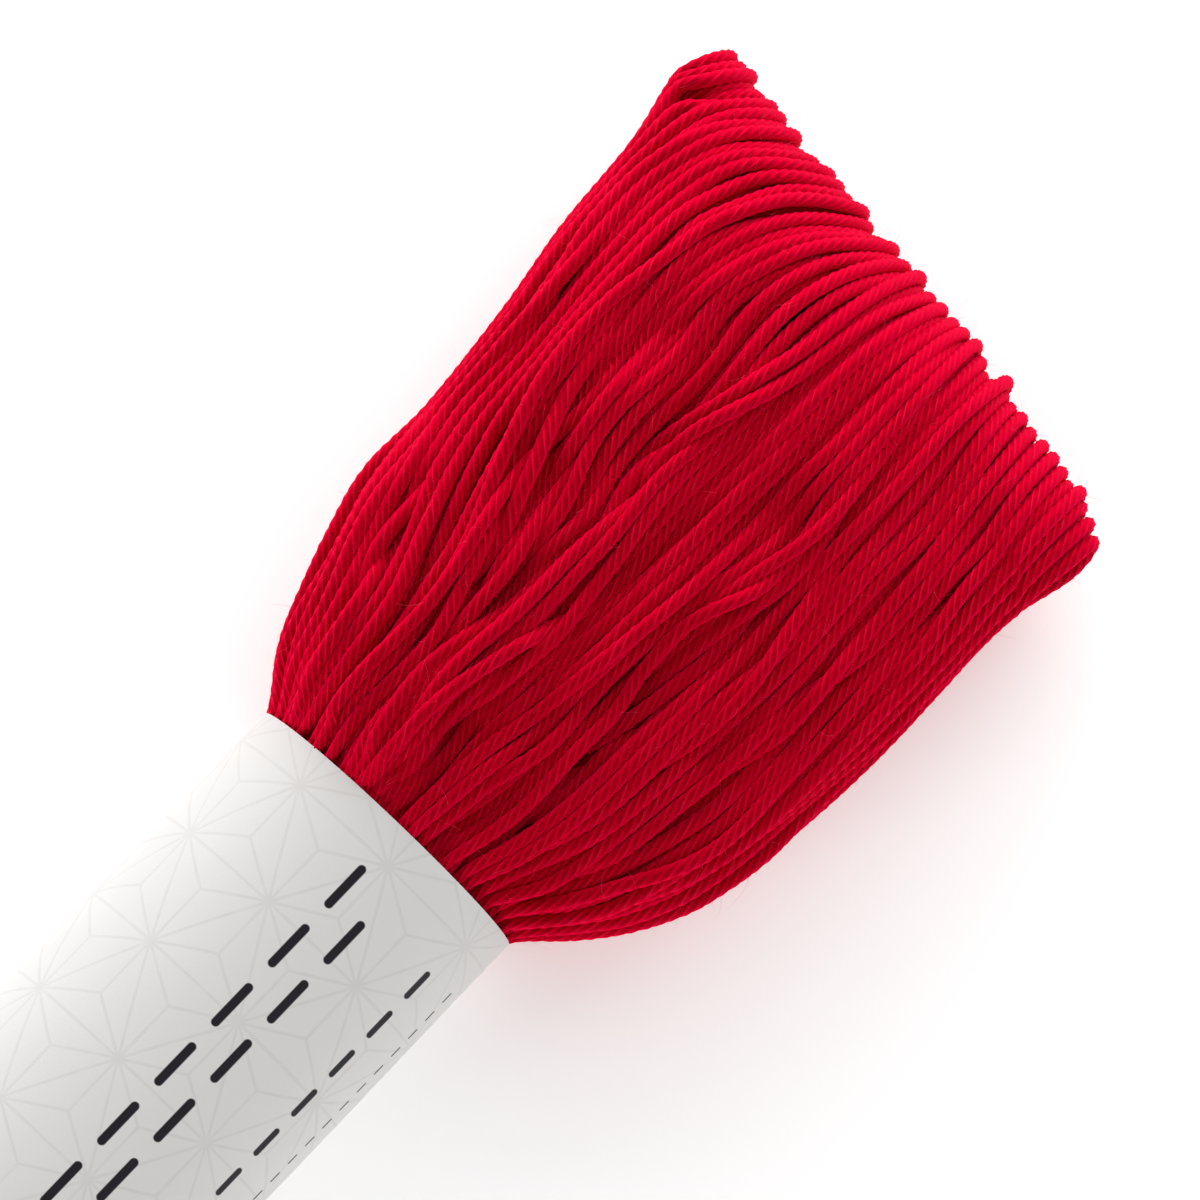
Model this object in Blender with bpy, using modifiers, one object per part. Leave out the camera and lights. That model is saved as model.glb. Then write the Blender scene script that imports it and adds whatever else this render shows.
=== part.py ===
"""A skein of plied cotton thread, gathered by a paper band: its construction, in metres, +Z up.

The skein lies along X on the plane z = 0, with the middle of the band over the origin. Beyond
each edge of the band the gathered thread swells into a flat fan of loops. The fan at +X is a
little longer on its +Y side, and the fan at -X is cut nearly square.
"""

import math

import bmesh
import bpy

MM = 0.001

# Gap between touching pieces.
CLEARANCE = 0.35 * MM

# The paper band: an oval sleeve, flat along the line where it lies.
BAND_LENGTH = 60.0 * MM
BAND_WIDTH = 15.2 * MM
BAND_HEIGHT = 11.7 * MM
BAND_SHEET = 1.0 * MM
# How far the band's oval would dip under the surface if it weren't flattened.
BAND_DIP = 0.3 * MM

# The fans: how far they stand out of the band, and the round turn of the loops at their ends.
FAN_REACH = 35.5 * MM
LOOP_TURN = 5.2 * MM
# The level at which a fan is widest and its loops end, as a part of its height.
WAIST_LEVEL = 0.46
# How far beyond the band the gathered thread starts to swell.
NECK_LIP = 0.4 * MM
# The outermost ring of a fan stops short of a sharp edge, at this angle of the loops' turn.
TURN_STOP = math.radians(82)

POINTS_AROUND = 64
RINGS_IN_FAN = 17
RINGS_IN_TURN = 7
# Rings crowd towards the neck, where the swelling is fastest.
RING_CROWDING = 1.5

# Sections of the shown fan, in millimetres: distance beyond the band, reach to +Y and to -Y,
# level of the top and of the underside before it is pressed flat, and how square the section
# is, where 2 is an oval.
SHOWN_FAN = [
    {"along": 1.0, "left": 7.6, "right": 7.6, "top": 11.4, "under": 0.4, "power": 2.0},
    {"along": 2.2, "left": 9.0, "right": 9.1, "top": 12.0, "under": -0.2, "power": 2.1},
    {"along": 3.8, "left": 10.1, "right": 10.3, "top": 12.5, "under": -0.5, "power": 2.2},
    {"along": 7.0, "left": 11.1, "right": 12.4, "top": 13.1, "under": -0.8, "power": 2.3},
    {"along": 12.0, "left": 11.7, "right": 13.5, "top": 13.3, "under": -0.9, "power": 2.35},
    {"along": 18.0, "left": 12.2, "right": 13.9, "top": 12.9, "under": -0.9, "power": 2.4},
    {"along": 25.0, "left": 12.9, "right": 13.8, "top": 12.2, "under": -0.8, "power": 2.45},
    {"along": 31.0, "left": 13.6, "right": 14.3, "top": 11.3, "under": -0.6, "power": 2.5},
    {"along": 35.5, "left": 14.1, "right": 14.4, "top": 10.6, "under": -0.4, "power": 2.5},
]

# Sections of the other fan, in the same columns.
HIDDEN_FAN = [
    {"along": 1.0, "left": 7.6, "right": 7.6, "top": 11.4, "under": 0.4, "power": 2.0},
    {"along": 2.2, "left": 9.1, "right": 9.0, "top": 12.0, "under": -0.2, "power": 2.1},
    {"along": 3.8, "left": 10.2, "right": 10.0, "top": 12.6, "under": -0.5, "power": 2.2},
    {"along": 7.0, "left": 11.8, "right": 11.3, "top": 13.2, "under": -0.8, "power": 2.3},
    {"along": 14.0, "left": 13.0, "right": 12.2, "top": 13.1, "under": -0.9, "power": 2.4},
    {"along": 24.0, "left": 13.6, "right": 13.0, "top": 12.2, "under": -0.8, "power": 2.45},
    {"along": 35.5, "left": 14.4, "right": 13.9, "top": 10.6, "under": -0.4, "power": 2.5},
]

# The loops' ends across each fan, in millimetres beyond the band: across runs from -1 at the
# fan's -Y edge to 1 at its +Y edge.
SHOWN_ENDS = [
    {"across": -1.0, "reach": 31.4},
    {"across": -0.87, "reach": 32.5},
    {"across": -0.66, "reach": 33.0},
    {"across": -0.27, "reach": 34.1},
    {"across": 0.13, "reach": 34.5},
    {"across": 0.45, "reach": 35.4},
    {"across": 0.8, "reach": 35.5},
    {"across": 1.0, "reach": 34.4},
]
HIDDEN_ENDS = [
    {"across": -1.0, "reach": 33.6},
    {"across": -0.6, "reach": 35.1},
    {"across": 0.0, "reach": 35.5},
    {"across": 0.6, "reach": 34.9},
    {"across": 1.0, "reach": 33.2},
]

# Soft furrows between the main bundles of thread, in millimetres and as a part of the fan's
# half width: where each lies near the band and at the loops, how far out it is deepest and how
# long it runs, its depth and its half width.
SHOWN_FURROWS = [
    {"near": 0.55, "far": 0.74, "deepest": 30.0, "run": 9.0, "depth": 0.7, "half": 1.3},
    {"near": 0.3, "far": 0.48, "deepest": 25.0, "run": 10.0, "depth": 0.9, "half": 1.3},
    {"near": 0.22, "far": 0.26, "deepest": 13.5, "run": 8.0, "depth": 0.7, "half": 1.2},
    {"near": -0.1, "far": -0.12, "deepest": 9.0, "run": 7.0, "depth": 0.5, "half": 1.2},
    {"near": -0.2, "far": -0.36, "deepest": 21.6, "run": 10.0, "depth": 0.7, "half": 1.3},
    {"near": -0.55, "far": -0.66, "deepest": 17.0, "run": 10.0, "depth": 0.6, "half": 1.4},
]
HIDDEN_FURROWS = [
    {"near": 0.4, "far": 0.5, "deepest": 20.0, "run": 11.0, "depth": 0.7, "half": 1.4},
    {"near": -0.02, "far": 0.04, "deepest": 14.0, "run": 11.0, "depth": 0.6, "half": 1.3},
    {"near": -0.42, "far": -0.5, "deepest": 24.0, "run": 10.0, "depth": 0.7, "half": 1.4},
]


def clear_scene():
    """Remove what Blender starts with."""
    for item in list(bpy.data.objects):
        bpy.data.objects.remove(item, do_unlink=True)


def make_material(name, colour, roughness):
    """A plain non-metal finish."""
    material = bpy.data.materials.new(name)
    material.use_nodes = True
    shader = material.node_tree.nodes["Principled BSDF"]
    shader.inputs["Base Color"].default_value = (*colour, 1.0)
    shader.inputs["Roughness"].default_value = roughness
    shader.inputs["Metallic"].default_value = 0.0
    return material


def thread_material():
    """Soft red mercerised cotton."""
    return make_material("thread", (0.62, 0.002, 0.018), 0.7)


def paper_material():
    """Uncoated off-white paper."""
    return make_material("paper", (0.82, 0.8, 0.79), 0.6)


def table_value(rows, key, column, place):
    """Smooth value of a column at a place along the key column, level beyond the table."""
    places = [row[key] for row in rows]
    values = [row[column] for row in rows]
    if place <= places[0]:
        return values[0]
    if place >= places[-1]:
        return values[-1]
    index = max(i for i, start in enumerate(places) if start <= place)
    step = places[index + 1] - places[index]
    part = (place - places[index]) / step
    slopes = []
    for i in (index, index + 1):
        low = max(i - 1, 0)
        high = min(i + 1, len(places) - 1)
        slopes.append((values[high] - values[low]) / (places[high] - places[low]) * step)
    square = part * part
    cube = square * part
    return (
        (2 * cube - 3 * square + 1) * values[index]
        + (cube - 2 * square + part) * slopes[0]
        + (3 * square - 2 * cube) * values[index + 1]
        + (cube - square) * slopes[1]
    )


def rounded(ratio, power):
    """The power curve that makes an oval squarer."""
    return math.copysign(abs(ratio) ** (2.0 / power), ratio)


def bell(offset, half):
    """One at zero, falling smoothly to nothing at a distance of half."""
    if abs(offset) >= half:
        return 0.0
    return 0.5 + 0.5 * math.cos(math.pi * offset / half)


def furrow_depth(furrows, along, across, half_width):
    """How far the top is pressed in at a place, in millimetres."""
    depth = 0.0
    for row in furrows:
        part = along / (FAN_REACH / MM)
        centre = row["near"] + (row["far"] - row["near"]) * part
        sideways = bell((across - centre) * half_width, row["half"])
        lengthways = bell(along - row["deepest"], row["run"])
        depth += row["depth"] * sideways * lengthways
    return depth


def turn_factor(along):
    """Height left of a fan where its loops turn round, from 1 before the turn to 0 at its end."""
    into_turn = (along - (FAN_REACH - LOOP_TURN)) / LOOP_TURN
    if into_turn <= 0.0:
        return 1.0
    return math.sqrt(max(0.0, 1.0 - into_turn * into_turn))


def sections_start():
    """Distance beyond the band of a fan's first ring."""
    return SHOWN_FAN[0]["along"] * MM


def fan_stations():
    """Distances beyond the band of a fan's rings, crowded at the neck and round the turn."""
    straight = FAN_REACH - LOOP_TURN
    start = sections_start()
    stations = []
    for i in range(RINGS_IN_FAN + 1):
        stations.append(start + (straight - start) * (i / RINGS_IN_FAN) ** RING_CROWDING)
    for i in range(1, RINGS_IN_TURN + 1):
        stations.append(straight + LOOP_TURN * math.sin(TURN_STOP * i / RINGS_IN_TURN))
    return stations


def fan_ring(sections, ends, furrows, along):
    """One ring of a fan as (distance beyond the band, y, z) points, from the +Y side upwards."""
    place = along / MM
    columns = ("left", "right", "top", "under", "power")
    left, right, top, under, power = (
        table_value(sections, "along", column, place) for column in columns
    )
    waist = top * WAIST_LEVEL
    end_level = sections[-1]["top"] * WAIST_LEVEL
    height_left = turn_factor(along)
    ring = []
    for i in range(POINTS_AROUND):
        angle = 2.0 * math.pi * i / POINTS_AROUND
        across = rounded(math.cos(angle), power)
        upward = rounded(math.sin(angle), power)
        half_width = left if across >= 0.0 else right
        half_height = top - waist if upward >= 0.0 else waist - under
        level = waist + half_height * upward
        if upward > 0.0:
            level -= furrow_depth(furrows, place, across, half_width) * upward
        level = end_level + (level - end_level) * height_left
        reach = table_value(ends, "across", "reach", across) * MM
        ring.append((along * reach / FAN_REACH, across * half_width * MM, max(level * MM, 0.0)))
    return ring


def band_outline(inset):
    """The band's oval with its flat underside, moved inwards by inset, as (y, z) points."""
    half_width = BAND_WIDTH / 2.0 - inset
    half_height = (BAND_HEIGHT + BAND_DIP) / 2.0 - inset
    centre = (BAND_HEIGHT - BAND_DIP) / 2.0
    outline = []
    for i in range(POINTS_AROUND):
        angle = 2.0 * math.pi * i / POINTS_AROUND
        level = centre + half_height * math.sin(angle)
        outline.append((half_width * math.cos(angle), max(level, inset)))
    return outline


def close_end(mesh_builder, ring):
    """Close an end with a strip across the slot between the ring's upper and lower halves."""
    count = len(ring)
    for i in range(count // 2):
        corners = (ring[i], ring[i + 1], ring[count - i - 1], ring[-i])
        mesh_builder.faces.new(tuple(dict.fromkeys(corners)))


def loft(name, rings, closed):
    """An object whose skin runs from ring to ring, with its first and last ring closed or open."""
    mesh_builder = bmesh.new()
    skin = [[mesh_builder.verts.new(point) for point in ring] for ring in rings]
    count = len(rings[0])
    for low, high in zip(skin, skin[1:]):
        for i in range(count):
            after = (i + 1) % count
            mesh_builder.faces.new((low[i], low[after], high[after], high[i]))
    if closed:
        close_end(mesh_builder, skin[0])
        close_end(mesh_builder, skin[-1])
        bmesh.ops.recalc_face_normals(mesh_builder, faces=mesh_builder.faces)
    mesh = bpy.data.meshes.new(name)
    mesh_builder.to_mesh(mesh)
    mesh_builder.free()
    return bpy.data.objects.new(name, mesh)


def finish(piece, collection, material, sharp_angle):
    """Give a piece its material, its smooth shading and its place in the collection."""
    piece.data.materials.append(material)
    piece.data.shade_smooth()
    piece.data.set_sharp_from_angle(angle=math.radians(sharp_angle))
    collection.objects.link(piece)


def make_skein(collection):
    """The wound thread: a fan of loops, the gathered neck inside the band, and the other fan."""
    edge = BAND_LENGTH / 2.0
    stations = fan_stations()
    hidden = []
    for along in reversed(stations):
        ring = fan_ring(HIDDEN_FAN, HIDDEN_ENDS, HIDDEN_FURROWS, along)
        hidden.append([(-edge - out, y, z) for out, y, z in ring])
    gathered = band_outline(BAND_SHEET + CLEARANCE)
    lip = edge + NECK_LIP
    neck = [[(place, y, z) for y, z in gathered] for place in (-lip, -edge / 2.0, edge / 2.0, lip)]
    shown = []
    for along in stations:
        ring = fan_ring(SHOWN_FAN, SHOWN_ENDS, SHOWN_FURROWS, along)
        shown.append([(edge + out, y, z) for out, y, z in ring])
    skein = loft("skein", hidden + neck + shown, closed=True)
    finish(skein, collection, thread_material(), 60.0)


def make_band(collection):
    """The paper sleeve: an open oval wall given its thickness inwards."""
    edge = BAND_LENGTH / 2.0
    outline = band_outline(0.0)
    walls = [[(place, y, z) for y, z in outline] for place in (-edge, edge)]
    band = loft("band", walls, closed=False)
    sheet = band.modifiers.new("sheet", "SOLIDIFY")
    sheet.thickness = BAND_SHEET
    sheet.offset = -1.0
    sheet.use_even_offset = True
    finish(band, collection, paper_material(), 30.0)


def main():
    """Build the two pieces in a collection named for the object."""
    clear_scene()
    collection = bpy.data.collections.new("thread_skein")
    bpy.context.scene.collection.children.link(collection)
    make_skein(collection)
    make_band(collection)


main()
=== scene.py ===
"""A skein of plied cotton thread held by a printed paper band, laid out as a Blender add-on.

The long axis is X, the surface it lies on is z = 0. Each fan is made of loops of thread that
leave the band on its top, run out, turn round at the fan's end and come back underneath.
Geometry is worked out in millimetres and scaled to metres as the meshes are made.
"""

import math

import bmesh
import bpy
import numpy as np
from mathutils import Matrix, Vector


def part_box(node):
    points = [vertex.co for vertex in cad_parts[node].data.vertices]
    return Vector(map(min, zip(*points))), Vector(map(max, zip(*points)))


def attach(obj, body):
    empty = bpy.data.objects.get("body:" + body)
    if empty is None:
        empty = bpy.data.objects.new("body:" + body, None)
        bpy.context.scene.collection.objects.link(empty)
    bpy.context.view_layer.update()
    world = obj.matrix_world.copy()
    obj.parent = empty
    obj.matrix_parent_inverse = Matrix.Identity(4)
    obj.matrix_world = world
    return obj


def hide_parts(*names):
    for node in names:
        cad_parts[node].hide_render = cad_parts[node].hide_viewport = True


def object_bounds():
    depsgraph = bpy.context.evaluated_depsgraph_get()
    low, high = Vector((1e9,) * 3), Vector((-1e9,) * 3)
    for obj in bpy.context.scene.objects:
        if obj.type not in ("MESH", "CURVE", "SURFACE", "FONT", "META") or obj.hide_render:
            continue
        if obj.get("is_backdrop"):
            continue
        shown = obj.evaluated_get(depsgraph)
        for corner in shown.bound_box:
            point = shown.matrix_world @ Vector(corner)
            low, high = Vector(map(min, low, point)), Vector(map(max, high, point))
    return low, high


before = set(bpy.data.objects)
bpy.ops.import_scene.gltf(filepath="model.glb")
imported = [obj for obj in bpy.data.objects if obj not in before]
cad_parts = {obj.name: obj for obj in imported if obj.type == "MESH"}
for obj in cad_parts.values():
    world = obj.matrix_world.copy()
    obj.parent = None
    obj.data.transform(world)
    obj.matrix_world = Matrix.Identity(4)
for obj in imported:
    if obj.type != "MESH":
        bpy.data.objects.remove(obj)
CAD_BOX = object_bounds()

bl_info = {
    "name": "Thread skein with a paper band",
    "version": (1, 0, 0),
    "blender": (4, 5, 0),
    "location": "View3D > Sidebar > Skein",
    "description": "Models a skein of plied cotton thread gathered by a printed paper band",
    "category": "Object",
}

MM = 0.001
BODY = "root"


def named(columns, *rows):
    """The rows of a table as dictionaries under its column names."""
    return [dict(zip(columns.split(), row)) for row in rows]


# The band and the fans, measured from the two CAD bodies.
BAND_LOW, BAND_HIGH = (np.array(corner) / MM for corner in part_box("band"))
BAND_EDGE = float(BAND_HIGH[0])
BAND_SIZE = BAND_HIGH - BAND_LOW
FAN_REACH = float(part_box("skein")[1][0]) / MM - BAND_EDGE

# How far the threads are followed into the band, and how far out they are full width again.
INSIDE_BAND = 4.0
FULL_WIDTH_AT = 4.0
# The loops' turn at the end of a fan: its reach along the fan, its length as a part of that of a
# half circle, and the least that it rises and sinks from the waist.
LOOP_TURN = 5.0
TURN_LENGTH = 0.8
TURN_HEIGHT = 0.6
# From how far out the threads stray less, and how near they come to the fan's edges.
CALM_FROM = 18.0
KEEP_TOP = 0.99
KEEP_UNDER = 0.998
# How unevenly deep the threads lie, and how much their ends differ.
UNEVEN_DEPTH = 0.3
UNEVEN_ENDS = 0.16
# The level at which a fan is widest, as a part of its height.
WAIST_LEVEL = 0.46
# Sections are looked up on a grid this fine along the fan, with this many points over the top.
STATION_STEP = 0.5
OUTLINE_POINTS = 121
# Points on each loop of thread while the loops are packed together, and the rounds of packing.
LOOP_POINTS = 150
SETTLE_ROUNDS = 140
# Depth of the outermost threads' middle, and from layer to layer, in thread diameters.
OUTERMOST = 0.42
LAYER_STEP = 0.84
# How many fewer loops than the outer one each layer has.
FEWER_LOOPS = (0, 2, 8)
# Steps along outer and inner threads, the sides of an inner one, and how deep the valleys between
# an outer one's plies are, as a part of its radius. An outer one has two sides to a ply.
OUTER_STEP = 0.36
INNER_STEP = 0.8
INNER_SIDES = 8
PLY_VALLEY = 0.15
# Where each fan's random draws start.
SHOWN_SEED = 11
OTHER_SEED = 23

# How far inside the outer threads the core lies, how much further near the band, how far inside
# them it lies at its two sides, and the part of its upper half in which it draws in from there.
CORE_INSET = 2.15
CORE_NECK = 0.9
CORE_SIDE_INSET = 1.15
CORE_SHOULDER = 0.3
# How far before its two ends the core closes, and the faces round and along it.
CORE_CLOSING = 4.0
CORE_FACES = (48, 72)

# The band's paper: its lap underneath, the air in the lap, how much of its oval is pressed flat,
# its waviness, the level from which it waves, and the faces along and round it.
BAND_LAP = 5.0
LAP_AIR = 0.03
BAND_FLAT = 0.3
BAND_WAVE = 0.05
WAVE_LEVEL = 0.6
BAND_FACES = (48, 180)
# A star centre of the print: its place from the band's end and round the band from its top.
STAR_ALONG = -1.7
STAR_ACROSS = 1.9
# Where a star's line is full and where it has faded, from its middle, and how soft a dash's edge is.
STAR_LINE = (0.035, 0.1)
INK_BLEED = 0.03

# Printed running stitches: place round the band from its top, middle of the last dash from the
# band's end, distance from dash to dash, and a dash's length and width.
STITCH_ROWS = named(
    "round last period dash width",
    (1.15, -3.65, 3.6, 2.5, 0.42),
    (2.85, -5.45, 3.6, 2.5, 0.42),
    (6.9, -4.45, 2.4, 1.6, 0.34),
    (9.2, -3.8, 1.1, 0.6, 0.12),
)

# Sections of a fan: distance beyond the band, reach to +Y and to -Y, level of the top and of
# the underside before it is pressed flat, and how square each side is, where 2 is an oval.
FAN_SECTIONS = named(
    "along left right top under round_left round_right",
    (-4.0, 7.35, 7.35, 11.45, 0.3, 2.0, 2.0),
    (0.0, 7.45, 7.45, 11.5, 0.25, 2.0, 2.0),
    (1.0, 8.0, 8.05, 11.9, 0.0, 2.05, 2.05),
    (2.5, 9.12, 9.25, 12.15, -0.3, 2.15, 2.1),
    (5.0, 10.25, 11.15, 12.5, -0.6, 2.35, 2.2),
    (7.5, 11.08, 12.45, 12.7, -0.8, 2.35, 2.3),
    (10.0, 11.72, 13.1, 12.75, -0.9, 2.35, 2.35),
    (15.0, 11.55, 13.7, 12.75, -0.9, 2.35, 2.4),
    (20.0, 12.1, 13.95, 12.6, -0.9, 2.35, 2.4),
    (25.0, 12.95, 13.9, 12.05, -0.8, 2.35, 2.45),
    (30.0, 13.4, 13.85, 10.75, -0.6, 2.4, 2.5),
    (35.5, 15.1, 15.1, 8.7, -0.4, 2.4, 2.5),
)

# Half width and half height of the room inside the band's mouth and the level of its middle, how
# far out the threads are kept to it, and how much wider they may spread in each millimetre.
BAND_HOLD = (7.45, 5.65)
BAND_MIDDLE = 5.875
MOUTH_REACH = 1.5
MOUTH_SPREAD = 0.11

# How much higher a fan's top stands towards +Y and lower towards -Y, as a part of its height.
CREST_LEAN = 0.38

# Where the loops end across a fan, from -1 at its -Y edge to 1 at its +Y edge.
FAN_ENDS = named(
    "across reach",
    (-1.0, 31.6),
    (-0.87, 32.4),
    (-0.66, 33.2),
    (-0.27, 33.9),
    (0.13, 34.6),
    (0.45, 35.7),
    (0.8, 36.2),
    (1.0, 38.0),
)

# The run of the threads over the top of a fan: how far to +Y a thread lies at each distance
# beyond the band. The first and last rows give how far it keeps from the fan's two edges.
RUN_PLACES = [0.5, 3.0, 6.0, 10.0, 15.0, 20.0, 25.0, 30.0, 33.0, 35.5]
THREAD_RUNS = [
    {"name": "left edge", "tuck": [0.0, 0.0, 0.0, 0.0, 0.0, 0.0, 0.0, 0.0, 0.0, 1.5]},
    {"name": "left slope", "across": [6.3, 7.1, 8.6, 10.1, 11.2, 11.3, 12.0, 12.2, 11.7, 10.3]},
    {"name": "left sweep", "across": [5.0, 5.1, 5.9, 7.5, 8.7, 9.1, 9.5, 9.4, 8.3, 6.2]},
    {"name": "left furrow", "across": [3.5, 3.5, 3.7, 4.4, 5.9, 7.1, 7.5, 7.2, 5.8, 3.5]},
    {"name": "left middle", "across": [2.7, 2.6, 2.6, 2.7, 3.8, 4.9, 5.4, 5.2, 4.0, 2.1]},
    {"name": "crossing", "across": [2.0, 2.0, 2.0, 1.5, 1.9, 2.3, 1.8, 1.8, 1.4, 0.7]},
    {"name": "crown", "across": [1.3, 1.3, 1.2, 0.5, -0.1, 0.0, -0.2, -0.4, -0.5, -0.8]},
    {"name": "right middle", "across": [-0.1, -0.5, -0.9, -1.5, -2.0, -2.3, -2.2, -2.2, -2.3, -2.5]},
    {"name": "right furrow", "across": [-2.6, -3.3, -3.8, -3.8, -4.1, -4.6, -4.4, -4.1, -3.8, -3.6]},
    {"name": "right sweep", "across": [-4.6, -5.4, -6.1, -6.4, -6.7, -6.8, -6.5, -6.0, -5.7, -5.5]},
    {"name": "right slope", "across": [-5.9, -6.8, -7.8, -8.3, -8.9, -9.0, -8.7, -8.2, -7.6, -7.2]},
    {"name": "right bulge", "across": [-6.8, -8.2, -9.6, -10.7, -11.1, -11.3, -11.1, -10.6, -10.3, -10.1]},
    {"name": "right edge", "tuck": [0.0, 0.0, 0.0, 0.0, 0.0, 0.0, 0.0, 0.0, 0.2, 0.6]},
]
# Where the runs are compared to place a new thread between two of them.
RUN_REFERENCE = 18.0

# Partings, where the threads stand apart and a dark gap shows: place along and across the top
# of the shown fan, how far the gap runs each way, and how far each side is pushed away.
PARTINGS = named(
    "along across run open sink",
    (24.5, 5.8, 4.2, 0.58, 1.5),
    (31.5, 8.6, 2.9, 0.36, 0.6),
    (8.0, -2.0, 4.5, 0.4, 0.9),
    (13.5, -4.7, 5.2, 0.3, 0.8),
    (14.0, -9.0, 4.5, 0.34, 0.8),
    (22.5, -4.4, 5.2, 0.34, 0.9),
    (11.5, 2.5, 3.6, 0.42, 0.9),
    (15.0, 4.3, 4.5, 0.42, 0.9),
    (28.5, -8.1, 5.9, 0.36, 0.75),
    (22.5, -10.2, 5.2, 0.36, 0.75),
    (21.0, 3.4, 6.0, 0.3, 0.9),
    (5.2, 1.0, 2.9, 0.3, 0.6),
    (9.5, 8.8, 3.9, 0.3, 0.6),
)
# Threads that pass over their neighbours to another run: their place round the top at the
# reference, the stretch in which they cross, and how far they move to +Y.
CROSSINGS = named(
    "across from to shift",
    (3.0, 19.5, 29.5, -1.9),
    (2.2, 18.0, 28.5, -1.8),
    (2.6, -2.0, 18.0, -3.3),
    (-2.6, 5.0, 23.0, -1.2),
    (7.4, 2.0, 20.0, -1.4),
    (-6.2, 0.0, 16.0, 1.3),
    (-8.8, 10.0, 28.0, 1.5),
    (11.0, 12.0, 30.0, 1.3),
    (-11.8, 2.0, 20.0, -1.5),
)
# How far out across the fan's end, from its middle, the outermost threads turn at -Y and at +Y.
# Underneath they spread from there to its very edges.
UNDER_EDGES = (0.955, 0.9)
# Loops that lie in where the others draw apart, in the middle and at the fan's far +Y corner:
# their places round the top.
FILLING_LOOPS = [2.9, 3.5, 4.2, 13.1, 14.0, 14.8, 15.4]
# How far a crossing thread stands above its neighbours.
CROSSING_LIFT = 0.4
# Furrows that follow the threads: how many waves make them, their span from thread to thread and
# along the threads, and how deep they are near the band, half way out and at the fan's end.
FURROW_WAVES = 12
FURROW_ACROSS = (1.9, 5.5)
FURROW_ALONG = (22.0, 70.0)
FURROW_PLACES = [-1.0, 2.0, 8.0, 20.0, 28.0, 35.5]
FURROW_DEPTHS = [0.0, 0.46, 0.54, 0.56, 0.2, 0.03]
# A fan's smooth flanks: which side each is on, where it begins and how gradually, from thread to
# thread, and how much shallower furrows and dives are there.
FLANKS = named(
    "side begins fades less",
    (1.0, 7.0, 5.0, 0.85),
    (-1.0, 11.0, 4.0, 0.75),
)
# Broad hollows, and ridges where deep is below zero, that run along a fan's top: their middle
# along it, their place from thread to thread, and their half length and half width.
HOLLOWS = named(
    "along place run half deep",
    (19.0, 7.6, 9.0, 2.6, -0.55),
    (20.0, 2.8, 9.0, 2.4, 0.5),
    (22.0, -8.4, 7.0, 2.0, 0.3),
)
# Threads that dive under their neighbours towards the band: their share in each layer, how far
# below the layer's own place they and the others come to lie, and how much partings move them.
DIVES = named(
    "share dive others parted",
    (0.4, 0.72, 0.0, 1.0),
    (0.3, 0.8, 0.2, 0.35),
    (0.3, 1.0, 0.4, 0.0),
)

# How far out a dive begins, where the others do, and the length in which either grows.
DIVE_BEGINS = (5.0, 13.0)
OTHERS_BEGIN = 6.0
DIVE_GROWS = (3.0, 7.0)

# Half width of the strip of threads that a parting moves, how soft the line is that divides them,
# and how many little partings there are.
PARTING_HALF = 1.3
PARTING_EDGE = 0.35
SMALL_PARTINGS = 26

# Loose fibres: how many a fan has, the length of the longest, their radius at the root and the
# part of it at the tip, their points, and how far from the thread's middle they start, as a part
# of its diameter.
FIBRES = 800
FIBRE_LENGTH = 1.5
FIBRE_RADIUS = 0.0065
FIBRE_TIP = 0.4
FIBRE_POINTS = 6
FIBRE_ROOT = 0.46
# How far out the first of them stand and how far above the surface they stay. They point away
# from the fan's heart, by their distance from it in its spreads along, across and up.
FIBRES_FROM = 0.8
FIBRE_CLEAR = 0.03
FAN_HEART = (31.0, 0.0, 5.0)
FAN_SPREAD = (3.0, 13.0, 6.0)
# Longer hairs that lie over the shown fan: their middle, length, heading and bend.
HAIRS = named(
    "along across length heading bend",
    (20.7, 3.6, 1.9, 55.0, 0.5),
    (4.7, -9.2, 1.6, 30.0, -0.8),
    (5.4, -9.7, 1.2, 80.0, 0.6),
    (33.9, 13.3, 1.1, -20.0, 0.3),
    (2.7, 8.5, 1.5, 10.0, 0.7),
    (2.2, -1.4, 1.2, 75.0, 0.4),
    (9.5, 10.9, 1.4, -35.0, 0.5),
)
# How near the threads are that a hair lies on, and how far above their middle it lies.
HAIR_REACH = 0.6
HAIR_LIFT = 0.42


class SkeinSizes(bpy.types.PropertyGroup):
    """Sizes of the thread, its winding and the band's print."""

    thread: bpy.props.FloatProperty(
        name="Thread", description="Diameter of the plied thread", default=0.0007,
        min=0.0003, max=0.002, precision=5, unit="LENGTH",
    )
    lay: bpy.props.FloatProperty(
        name="Lay", description="Length of thread in which a ply goes once round",
        default=0.0037, min=0.001, max=0.02, precision=5, unit="LENGTH",
    )
    plies: bpy.props.IntProperty(
        name="Plies", description="Plies twisted together in the thread", default=6, min=2, max=9,
    )
    squeeze: bpy.props.FloatProperty(
        name="Squeeze", description="Width of the thread inside the band, as a part of its own",
        default=0.8, min=0.4, max=1.0, subtype="FACTOR",
    )
    loops: bpy.props.IntProperty(
        name="Loops", description="Loops side by side in a fan's outer layer",
        default=44, min=10, max=60,
    )
    wander: bpy.props.FloatProperty(
        name="Wander", description="How far a thread strays from its neighbours",
        default=0.00032, min=0.0, max=0.002, precision=5, unit="LENGTH",
    )
    paper: bpy.props.FloatProperty(
        name="Paper", description="Thickness of the band's paper", default=0.0002,
        min=0.0001, max=0.001, precision=5, unit="LENGTH",
    )
    star: bpy.props.FloatProperty(
        name="Star spacing", description="Distance between the print's star centres",
        default=0.0055, min=0.002, max=0.02, precision=4, unit="LENGTH",
    )


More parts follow.
